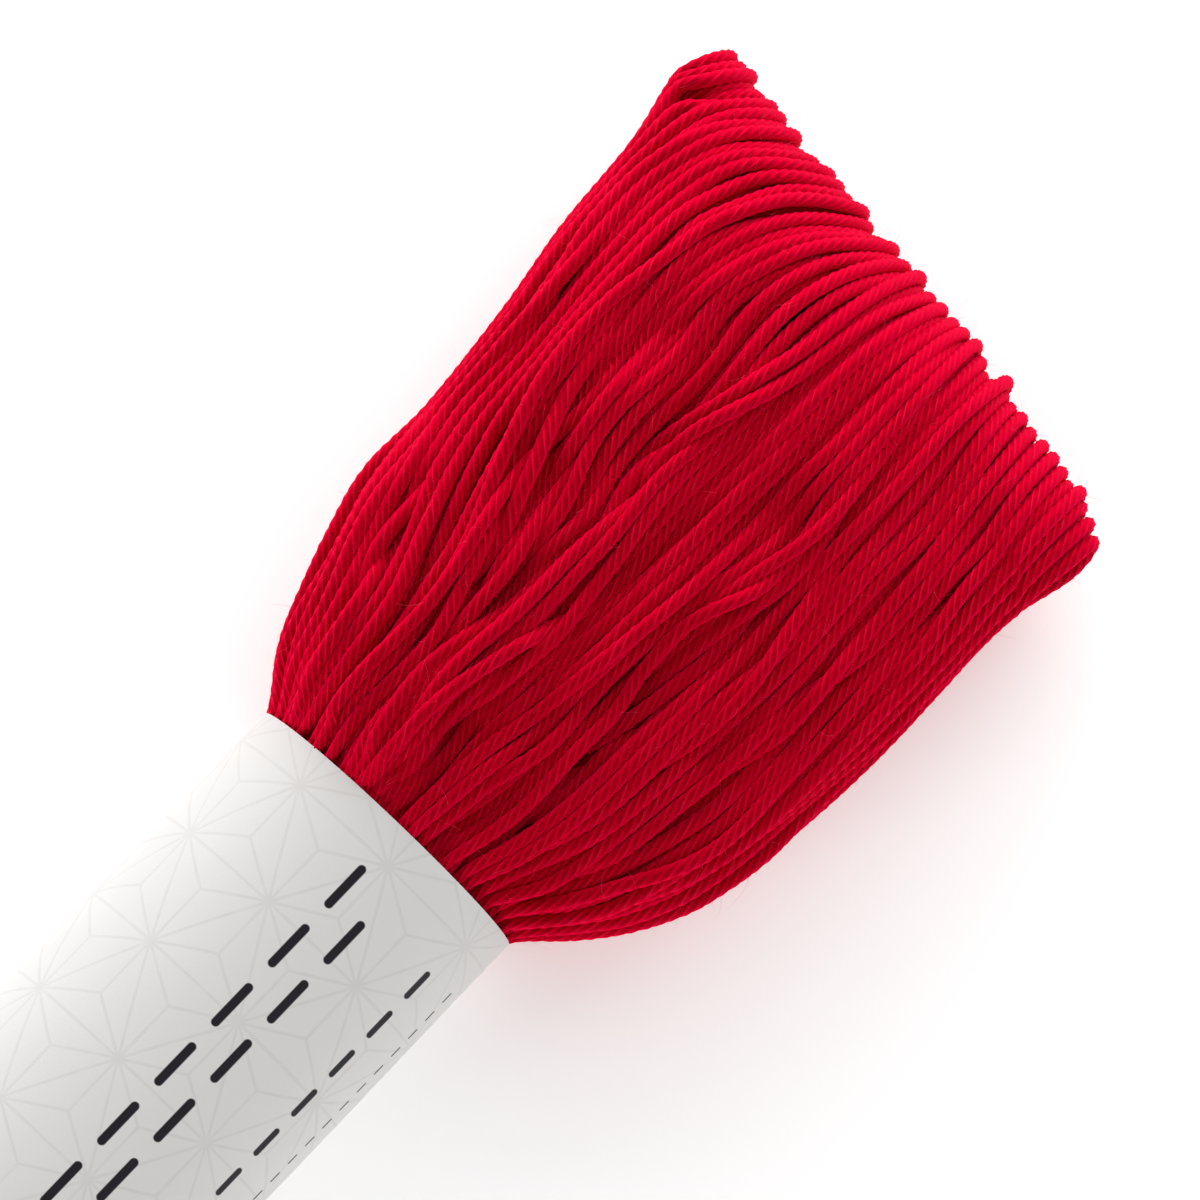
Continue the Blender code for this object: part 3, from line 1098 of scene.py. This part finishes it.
def add_node(tree, kind, inputs=(), **settings):
    """Add a node, set its properties, and feed its inputs with values or sockets."""
    node = tree.nodes.new(kind)
    for name, value in settings.items():
        setattr(node, name, value)
    for key, value in dict(inputs).items():
        if isinstance(value, bpy.types.NodeSocket):
            tree.links.new(value, node.inputs[key])
        else:
            node.inputs[key].default_value = value
    return node


def maths(tree, operation, first, second=0.0, third=0.0):
    """Result of a Math node."""
    values = {0: first, 1: second, 2: third}
    return add_node(tree, "ShaderNodeMath", values, operation=operation).outputs[0]


def mix(tree, share, first, second):
    """Colour between two others, each a colour or a socket."""
    first, second = (
        colour if isinstance(colour, bpy.types.NodeSocket) else (*colour, 1.0)
        for colour in (first, second)
    )
    inputs = {0: share, 6: first, 7: second}
    return add_node(tree, "ShaderNodeMix", inputs, data_type="RGBA").outputs[2]


def noise(tree, place, scale, detail, **more):
    """Noise at a place, about a half on the whole."""
    inputs = {"Vector": place, "Scale": scale, "Detail": detail, **more}
    return add_node(tree, "ShaderNodeTexNoise", inputs).outputs["Fac"]


def ramp(tree, value, low, high, **ends):
    """Smooth step from 0 to 1, or between other ends, as a value goes from low to high."""
    inputs = {"Value": value, "From Min": low, "From Max": high, **ends}
    node = add_node(tree, "ShaderNodeMapRange", inputs, interpolation_type="SMOOTHSTEP")
    return node.outputs[0]


def falling_ramp(tree, value, low, high):
    """Smooth step from 1 to 0 as a value goes from low to high."""
    return ramp(tree, value, low, high, **{"To Min": 1.0, "To Max": 0.0})


def place_of(tree, x, y, z=0.0):
    """A place from three numbers."""
    return add_node(tree, "ShaderNodeCombineXYZ", {0: x, 1: y, 2: z}).outputs[0]


def finish_shader(tree, shader, colour, values, height=None, strength=0.0, distance=0.0):
    """Give the shader its colour, its own values and the bumps of a height."""
    tree.links.new(colour, shader.inputs["Base Color"])
    if height is not None:
        inputs = {"Strength": strength, "Distance": distance, "Height": height}
        bump = add_node(tree, "ShaderNodeBump", inputs)
        tree.links.new(bump.outputs["Normal"], shader.inputs["Normal"])
    for name, value in values.items():
        shader.inputs[name].default_value = value


def thread_material(colours):
    """Mercerised cotton: plies with painted shade in the valleys and painted highlights on the crests,
    fine fibres, a soft sheen and a painted sheen seen edge on.
    """
    material, tree, shader = new_material("plied_cotton")
    facts = add_node(tree, "ShaderNodeUVMap", uv_map="thread").outputs["UV"]
    split = add_node(tree, "ShaderNodeSeparateXYZ", {0: facts})
    length, ply = split.outputs[0], split.outputs[1]
    number = add_node(tree, "ShaderNodeAttribute", attribute_name="loop_number").outputs["Fac"]

    def times(value, factor):
        """A value made so many times as large."""
        return maths(tree, "MULTIPLY", value, factor)

    wave = maths(tree, "COSINE", times(ply, 2.0 * math.pi))
    ridge = maths(tree, "POWER", maths(tree, "MULTIPLY_ADD", wave, 0.5, 0.5), 2.0)
    # Each ply rises and sinks a little along the thread; this varies its bumps and how much painted
    # highlight and painted shade it gets.
    rise = noise(tree, place_of(tree, times(length, 0.4), ply, times(number, 71.0)), 1.0, 1.0)
    ridge = maths(tree, "MULTIPLY", ridge, maths(tree, "MULTIPLY_ADD", rise, 3.0, -0.5))
    # Fibres lie along the plies, so the noise is long that way and fine across.
    fibre_place = place_of(tree, times(length, 1.3), times(ply, 5.0), times(number, 90.0))
    fibre = noise(tree, fibre_place, 1.0, 3.0, Roughness=0.6)
    # Some lengths of thread took the dye a little deeper than others.
    dye = noise(tree, place_of(tree, times(length, 0.12), times(number, 57.0)), 1.0, 1.0)

    lit = maths(tree, "MULTIPLY_ADD", fibre, 0.7, times(ridge, 1.05))
    lit = maths(tree, "ADD", lit, maths(tree, "MULTIPLY_ADD", dye, 0.3, -0.25))
    # Painted shade: between the plies the cotton is painted darker.
    colour = mix(tree, ramp(tree, lit, 0.1, 1.0), colours.valley, colours.thread)
    # Painted highlight: on the brightest crests the cotton is painted lighter.
    colour = mix(tree, ramp(tree, lit, 0.9, 1.8), colour, colours.painted_crest_highlight)
    # Painted sheen: seen edge on, the cotton is painted lighter, towards the colour of the sheen.
    facing = add_node(tree, "ShaderNodeLayerWeight", {"Blend": 0.29}).outputs["Facing"]
    colour = mix(tree, facing, colour, colours.painted_edge_sheen)

    values = {
        "Metallic": 0.2, "Roughness": 0.5, "Sheen Weight": 1.0, "Sheen Roughness": 0.5,
        "Sheen Tint": (1.0, 0.0, 0.05, 1.0), "Specular IOR Level": 0.0,
    }
    height = maths(tree, "MULTIPLY_ADD", fibre, 0.35, ridge)
    finish_shader(tree, shader, colour, values, height, 0.7, 0.00006)
    return material


def fibre_material(colours):
    """Single fibres of the dyed cotton, which look paler than the thread they come from."""
    material, tree, shader = new_material("loose_fibre")
    place = add_node(tree, "ShaderNodeTexCoord").outputs["Object"]
    colour = mix(tree, noise(tree, place, 900.0, 1.0), colours.thread, colours.fibre)
    finish_shader(tree, shader, colour, {"Roughness": 0.6, "Specular IOR Level": 0.2})
    return material


def fold(tree, value, period):
    """Distance of a value from the nearest whole number of periods, with its sign."""
    steps = maths(tree, "ROUND", maths(tree, "DIVIDE", value, period))
    return maths(tree, "SUBTRACT", value, maths(tree, "MULTIPLY", steps, period))


def star_lines(tree, across, along, spacing):
    """Distance to the nearest line of a hemp-leaf lattice of stars, in the units given.

    Every star centre has a ray to each of its six neighbours and to the middle of each of the
    six triangles round it.
    """
    edge_gap = spacing * math.sqrt(3.0) / 2.0
    ray_period = spacing * math.sqrt(3.0)
    ray_length = spacing / math.sqrt(3.0)
    for k in range(6):
        turn = math.radians(30.0 * k)
        off = maths(
            tree, "ADD", maths(tree, "MULTIPLY", across, -math.sin(turn)),
            maths(tree, "MULTIPLY", along, math.cos(turn)),
        )
        if k % 2 == 0:
            gap = maths(tree, "ABSOLUTE", fold(tree, off, edge_gap))
        else:
            run = maths(
                tree, "ADD", maths(tree, "MULTIPLY", across, math.cos(turn)),
                maths(tree, "MULTIPLY", along, math.sin(turn)),
            )
            half = spacing / 2.0
            row = maths(tree, "ROUND", maths(tree, "DIVIDE", off, half))
            odd = maths(tree, "ABSOLUTE", fold(tree, row, 2.0))
            shifted = maths(tree, "MULTIPLY_ADD", odd, ray_period / 2.0, run)
            beyond = maths(
                tree, "SUBTRACT", maths(tree, "ABSOLUTE", fold(tree, shifted, ray_period)),
                ray_length,
            )
            past = maths(tree, "MAXIMUM", beyond, 0.0)
            side = maths(tree, "ABSOLUTE", fold(tree, off, half))
            gap = maths(tree, "MAXIMUM", side, past)
        nearest = gap if k == 0 else maths(tree, "MINIMUM", nearest, gap)
    return nearest


def stitch_row(tree, along, across, row):
    """One where a dash of a printed running stitch lies, and nothing elsewhere."""
    from_middle = fold(tree, maths(tree, "SUBTRACT", along, row["last"]), row["period"])
    run = maths(tree, "ABSOLUTE", from_middle)
    side = maths(tree, "ABSOLUTE", maths(tree, "SUBTRACT", across, row["round"]))
    half_width = row["width"] / 2.0
    straight = row["dash"] / 2.0 - half_width
    past = maths(tree, "MAXIMUM", maths(tree, "SUBTRACT", run, straight), 0.0)
    squares = [maths(tree, "MULTIPLY", offset, offset) for offset in (past, side)]
    reach = maths(tree, "SQRT", maths(tree, "ADD", *squares))
    dash = falling_ramp(tree, reach, half_width - INK_BLEED, half_width + INK_BLEED)
    # The row runs as far towards the band's other end, and only whole dashes are printed.
    half_band = BAND_SIZE[0] / 2.0
    middle = maths(tree, "ADD", maths(tree, "SUBTRACT", along, from_middle), half_band)
    limit = half_band + row["last"] + 0.1
    inside = maths(tree, "LESS_THAN", maths(tree, "ABSOLUTE", middle), limit)
    return maths(tree, "MULTIPLY", dash, inside)


def paper_material(sizes, colours):
    """White paper, a little uneven, with a faint printed lattice of hemp-leaf stars."""
    material, tree, shader = new_material("printed_paper")
    place = add_node(tree, "ShaderNodeUVMap", uv_map="band").outputs["UV"]
    split = add_node(tree, "ShaderNodeSeparateXYZ", {0: place})
    along, across = split.outputs[0], split.outputs[1]
    nearest = star_lines(
        tree, maths(tree, "SUBTRACT", across, STAR_ACROSS),
        maths(tree, "SUBTRACT", along, STAR_ALONG), sizes.star / MM,
    )
    ink = falling_ramp(tree, nearest, *STAR_LINE)
    patchy = noise(tree, place, 1.4, 3.0)
    ink = maths(tree, "MULTIPLY", ink, maths(tree, "MULTIPLY_ADD", patchy, 0.9, 0.1))
    shaded = [channel * 0.97 for channel in colours.paper]
    shade = mix(tree, noise(tree, place, 0.45, 4.0), shaded, colours.paper)
    printed = mix(tree, ink, shade, colours.print_line)
    black = 0.0
    for row in STITCH_ROWS:
        black = maths(tree, "MAXIMUM", black, stitch_row(tree, along, across, row))
    stitched = mix(tree, black, printed, colours.ink)
    grain = noise(tree, place, 9.0, 4.0)
    values = {"Roughness": 0.55, "Specular IOR Level": 0.35}
    finish_shader(tree, shader, stitched, values, grain, 0.25, 0.00003)
    return material


def core_shade_material(colours):
    """The heart of the skein: packed cotton painted far darker than the threads, as shade for the deep
    gaps, and streaked like the threads that lie over it.
    """
    material, tree, shader = new_material("packed_cotton_painted_shade")
    place = add_node(tree, "ShaderNodeTexCoord").outputs["Object"]
    drawn = add_node(
        tree, "ShaderNodeMapping", {"Vector": place, "Scale": (60.0, 1800.0, 1800.0)}
    ).outputs[0]
    streak = noise(tree, drawn, 1.0, 2.0)
    # Painted shade: the core's two colours are the shade between plies made darker still, so that the deep
    # gaps read as shadow.
    deep, lit = ([channel * share for channel in colours.valley] for share in (0.2, 0.6))
    colour = mix(tree, streak, deep, lit)
    values = {"Roughness": 0.9, "Specular IOR Level": 0.0}
    finish_shader(tree, shader, colour, values, streak, 1.0, 0.0003)
    return material


def surface_material(colours):
    """The plain pale surface below."""
    material, _, shader = new_material("surface")
    values = {
        "Base Color": (*colours.surface, 1.0), "Roughness": 0.9, "Specular IOR Level": 0.1,
        "Emission Color": (1.0, 1.0, 1.0, 1.0), "Emission Strength": 0.33,
    }
    for name, value in values.items():
        shader.inputs[name].default_value = value
    return material


# ---------------------------------------------------------------- pieces


def shown_place(points):
    """Fan millimetres to metres, for the fan at +X."""
    return (points + [BAND_EDGE, 0.0, 0.0]) * MM


def other_place(points):
    """Fan millimetres to metres, for the fan at -X, which is the shown one turned round."""
    return (points * [-1.0, -1.0, 1.0] - [BAND_EDGE, 0.0, 0.0]) * MM


def build_fan(label, place, seed, partings, crossings):
    """A fan's loops: two pieces of outer thread with real plies, and one of inner thread."""
    scene = bpy.context.scene
    sizes, colours = scene.skein_sizes, scene.skein_colours
    random = np.random.default_rng(seed + 1)
    paths, alongs, layers = wind_fan(sizes, seed, partings, crossings)
    material = bpy.data.materials.get("plied_cotton") or thread_material(colours)
    outer = np.flatnonzero(layers == 0)
    half = len(outer) // 2
    groups = [
        ("outer_left", outer[:half], OUTER_STEP, 2 * sizes.plies, True),
        ("outer_right", outer[half:], OUTER_STEP, 2 * sizes.plies, True),
        ("inner", np.flatnonzero(layers > 0), INNER_STEP, INNER_SIDES, False),
    ]
    for name, chosen, *form in groups:
        piece = thread_mesh(
            f"{label}_{name}", paths[chosen], alongs[chosen], sizes, place, *form, random
        )
        piece.data.materials.append(material)
        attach(piece, BODY)
        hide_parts("skein")
    lines = fibre_lines(paths[outer], alongs[outer], sizes, FIBRES, random)
    if label == "shown_fan":
        lines = lines + hair_lines(paths[outer])
    material = bpy.data.materials.get("loose_fibre") or fibre_material(colours)
    make_fibres(f"{label}_fibres", lines, place, material)


def core_section(shape, along, around):
    """(y, z) of the core at each distance beyond the band and angle round it."""
    inset = CORE_INSET + CORE_NECK * (1.0 - ease(along / 9.0))
    waist = shape.at("waist", along)
    upward = np.sin(around)
    side = np.where(np.cos(around) >= 0.0, shape.at("left", along), shape.at("right", along))
    top = shape.at("top", along) - waist
    under = waist - np.maximum(shape.at("under", along), 0.0)
    tall = np.where(upward >= 0.0, top, under) - inset
    drawn_in = inset + (CORE_SIDE_INSET - inset) * (1.0 - ease(upward / CORE_SHOULDER))
    return np.cos(around) * (side - drawn_in), waist + upward * tall


def make_core(colours):
    """One long closed form inside the threads, from one fan's heart to the other's."""
    bpy.ops.object.select_all(action="DESELECT")
    around_faces, along_faces = CORE_FACES
    bpy.ops.mesh.primitive_uv_sphere_add(segments=around_faces, ring_count=along_faces, radius=1.0)
    piece = bpy.context.object
    piece.name = "core"
    mesh = piece.data
    places = read_points(mesh)
    shape = FanShape()
    # The sphere's poles become the two ends, and its rings the sections between them.
    part = 1.0 - np.arccos(np.clip(places[:, 2], -1.0, 1.0)) * 2.0 / np.pi
    around = np.arctan2(places[:, 1], places[:, 0])
    far = BAND_EDGE + FAN_REACH - CORE_INSET - 1.0
    x = part * far
    along = np.abs(x) - BAND_EDGE
    around = np.where(x < 0.0, np.pi - around, around)
    y, z = core_section(shape, along, around)
    waist = shape.at("waist", along)
    closing = np.clip((np.abs(x) - far + CORE_CLOSING) / CORE_CLOSING, 0.0, 1.0)
    z = waist + (z - waist) * np.sqrt(np.clip(1.0 - closing ** 2, 0.0, 1.0))
    y = np.where(x < 0.0, -y, y)
    y = np.where(np.abs(part) > 0.9999, 0.0, y)
    write_points(mesh, x, y, z)
    turn_outwards(mesh)
    mesh.materials.append(core_shade_material(colours))
    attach(piece, BODY)
    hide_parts("skein")


def band_outline(steps):
    """Points round the band's outside in millimetres, from the middle of its underside.

    The oval is as wide and tall as the band and pressed flat where it lies on the surface.
    """
    angles = np.linspace(-np.pi / 2.0, np.pi * 1.5, 721)
    y = BAND_SIZE[1] / 2.0 * np.cos(angles)
    tall = (BAND_SIZE[2] + BAND_FLAT) / 2.0
    z = np.maximum(BAND_SIZE[2] - tall + tall * np.sin(angles), 0.0)
    length = np.concatenate([[0.0], np.cumsum(np.hypot(np.diff(y), np.diff(z)))])
    where = np.mod(steps, length[-1])
    return np.interp(where, length, y), np.interp(where, length, z), length[-1]


def make_band(sizes, colours):
    """The paper band: a sheet wrapped once round with its ends lapped and glued underneath."""
    around = band_outline(np.array([0.0]))[2]
    flat_length = around + BAND_LAP
    bpy.ops.object.select_all(action="DESELECT")
    along_faces, around_faces = BAND_FACES
    bpy.ops.mesh.primitive_grid_add(
        x_subdivisions=along_faces, y_subdivisions=around_faces, size=1.0
    )
    piece = bpy.context.object
    piece.name = "paper_band"
    mesh = piece.data
    places = read_points(mesh)
    x = places[:, 0] * BAND_SIZE[0]
    steps = (places[:, 1] + 0.5) * flat_length
    y, z, _ = band_outline(steps)
    y_next, z_next, _ = band_outline(steps + 0.05)
    outward = np.stack([z_next - z, y - y_next], axis=1)
    outward /= np.linalg.norm(outward, axis=1)[:, None]
    # The first end lies under the last one, and the paper is nowhere quite even.
    paper = sizes.paper / MM
    under_lap = 1.0 - ease((steps - BAND_LAP) / 3.0)
    inward = paper * 0.5 + (paper + LAP_AIR) * under_lap
    waves = np.sin(steps * 0.62 + 0.09 * x) * np.sin(0.16 * x + 0.8) * BAND_WAVE
    raised = z - WAVE_LEVEL
    inward = inward + np.where(raised > 0.0, BAND_WAVE + waves, 0.0) * ease(raised / 2.0)
    y = y - outward[:, 0] * inward
    z = z - outward[:, 1] * inward
    write_points(mesh, x, y, z)
    flat = np.stack([x - BAND_SIZE[0] / 2.0, steps - around / 2.0], axis=1)
    write_uv_map(mesh, "band", flat[corner_points(mesh)])
    mesh.shade_smooth()
    only_select(piece)
    wall = piece.modifiers.new("paper", "SOLIDIFY")
    wall.thickness = sizes.paper
    wall.offset = 0.0
    bpy.ops.object.modifier_apply(modifier=wall.name)
    turn_outwards(piece.data)
    bpy.ops.object.shade_smooth_by_angle(angle=math.radians(50.0))
    piece.data.materials.append(paper_material(sizes, colours))
    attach(piece, BODY)
    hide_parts("band")


# ---------------------------------------------------------------- stage


def make_surface(colours):
    """A wide pale surface under the skein."""
    bpy.ops.object.select_all(action="DESELECT")
    bpy.ops.mesh.primitive_plane_add(size=4.0, location=(0.0, 0.0, -0.00002))
    floor = bpy.context.object
    floor.name = "floor"
    floor.data.materials.append(surface_material(colours))
    floor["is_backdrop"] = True


# The camera: the middle of its view, how far it is turned from the skein's long axis, how steeply
# it looks down, its distance, and the width that it takes in there.
VIEW_TARGET = Vector((BAND_EDGE + 14.2, 0.3, 5.0)) * MM
VIEW_TURN = math.radians(46.64)
VIEW_ELEVATION = math.radians(80.0)
VIEW_DISTANCE = 0.4
VIEW_WIDTH = 0.054


def view_axes():
    """Unit vectors on the surface that point right and up in the camera's view."""
    right = Vector((math.cos(VIEW_TURN), -math.sin(VIEW_TURN), 0.0))
    up = Vector((math.sin(VIEW_TURN), math.cos(VIEW_TURN), 0.0))
    return right, up


def look_at(item, place, target):
    """Stand an object at a place, facing a target."""
    item.location = place
    item.rotation_euler = (target - place).to_track_quat("-Z", "Y").to_euler()


def make_camera(scene):
    """The camera above the fan."""
    _, up = view_axes()
    data = bpy.data.cameras.new("camera")
    camera = bpy.data.objects.new("camera", data)
    scene.collection.objects.link(camera)
    back = -up * math.cos(VIEW_ELEVATION) + Vector((0.0, 0.0, math.sin(VIEW_ELEVATION)))
    look_at(camera, VIEW_TARGET + back * VIEW_DISTANCE, VIEW_TARGET)
    data.sensor_width = 36.0
    data.lens = data.sensor_width * VIEW_DISTANCE / VIEW_WIDTH
    data.clip_start = 0.01
    data.clip_end = 20.0
    scene.camera = camera


# Soft boxes round the skein: where each stands, as a turn from the view's right towards its top
# and a height over the surface in degrees, its distance and size in metres, and the light it
# gives on a sheet that faces it.
LIGHTS = named(
    "name turn rise distance size light",
    ("top", 90.0, 22.0, 0.26, 0.2, 0.665),
    ("left", 136.0, 12.0, 0.3, 0.22, 0.39),
    ("end", 46.0, 25.0, 0.24, 0.16, 0.595),
    ("right", -44.0, 20.0, 0.4, 0.3, 0.27),
    ("front", -134.0, 20.0, 0.4, 0.25, 0.57),
)
# The light of the even surround.
SURROUND = 0.15


def make_lights():
    """Soft boxes round the skein and an even pale surround."""
    right, up = view_axes()
    for row in LIGHTS:
        data = bpy.data.lights.new(row["name"], "AREA")
        data.shape = "SQUARE"
        data.size = row["size"]
        data.energy = row["light"] * (math.pi * row["distance"]) ** 2
        lamp = bpy.data.objects.new(row["name"], data)
        bpy.context.scene.collection.objects.link(lamp)
        turn = math.radians(row["turn"])
        rise = math.radians(row["rise"])
        level = right * math.cos(turn) + up * math.sin(turn)
        place = level * math.cos(rise) + Vector((0.0, 0.0, math.sin(rise)))
        look_at(lamp, VIEW_TARGET + place * row["distance"], VIEW_TARGET)
        lamp.visible_camera = False
    world = bpy.data.worlds.new("surround")
    world.use_nodes = True
    background = world.node_tree.nodes["Background"]
    background.inputs["Color"].default_value = (1.0, 1.0, 1.0, 1.0)
    background.inputs["Strength"].default_value = SURROUND
    bpy.context.scene.world = world
    bpy.context.scene.view_settings.view_transform = "Standard"


# ---------------------------------------------------------------- operators and panel


class SKEIN_OT_core(bpy.types.Operator):
    """Make the heart that the threads lie over, painted dark as shade"""

    bl_idname = "skein.core"
    bl_label = "Core"

    def execute(self, context):
        make_core(context.scene.skein_colours)
        return {"FINISHED"}


class SKEIN_OT_band(bpy.types.Operator):
    """Wrap the paper band"""

    bl_idname = "skein.band"
    bl_label = "Paper band"

    def execute(self, context):
        make_band(context.scene.skein_sizes, context.scene.skein_colours)
        return {"FINISHED"}


class SKEIN_OT_shown_fan(bpy.types.Operator):
    """Wind the loops of the fan at +X"""

    bl_idname = "skein.shown_fan"
    bl_label = "Shown fan"

    def execute(self, context):
        build_fan("shown_fan", shown_place, SHOWN_SEED, PARTINGS, CROSSINGS)
        return {"FINISHED"}


class SKEIN_OT_other_fan(bpy.types.Operator):
    """Wind the loops of the fan at -X"""

    bl_idname = "skein.other_fan"
    bl_label = "Other fan"

    def execute(self, context):
        build_fan("other_fan", other_place, OTHER_SEED, PARTINGS[2::2], CROSSINGS[::2])
        return {"FINISHED"}


class SKEIN_OT_stage(bpy.types.Operator):
    """Add the surface, the lights and the camera"""

    bl_idname = "skein.stage"
    bl_label = "Stage"

    def execute(self, context):
        make_surface(context.scene.skein_colours)
        make_lights()
        make_camera(context.scene)
        return {"FINISHED"}


class SKEIN_PT_panel(bpy.types.Panel):
    """Lists the skein's sizes, colours and steps"""

    bl_idname = "SKEIN_PT_panel"
    bl_label = "Skein"
    bl_space_type = "VIEW_3D"
    bl_region_type = "UI"
    bl_category = "Skein"

    def draw(self, context):
        for group in (context.scene.skein_sizes, context.scene.skein_colours):
            for name in group.__annotations__:
                self.layout.prop(group, name)
        for step in STEPS:
            self.layout.operator(step.bl_idname)


STEPS = (SKEIN_OT_core, SKEIN_OT_shown_fan, SKEIN_OT_other_fan, SKEIN_OT_band, SKEIN_OT_stage)
CLASSES = (SkeinSizes, SkeinColours, *STEPS, SKEIN_PT_panel)


def register():
    """Register the classes and hang the settings on the scene."""
    for item in CLASSES:
        bpy.utils.register_class(item)
    bpy.types.Scene.skein_sizes = bpy.props.PointerProperty(type=SkeinSizes)
    bpy.types.Scene.skein_colours = bpy.props.PointerProperty(type=SkeinColours)


def unregister():
    """Take the settings and the classes away again."""
    del bpy.types.Scene.skein_colours
    del bpy.types.Scene.skein_sizes
    for item in reversed(CLASSES):
        bpy.utils.unregister_class(item)


def main():
    """Build every piece in order and work out the model's size."""
    register()
    bpy.ops.skein.core()
    bpy.ops.skein.shown_fan()
    bpy.ops.skein.other_fan()
    bpy.ops.skein.band()
    bpy.ops.skein.stage()
    corners = {"cad": CAD_BOX, "visual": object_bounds()}
    size = {key: [list(map(float, corner)) for corner in box] for key, box in corners.items()}


if __name__ == "__main__":
    main()
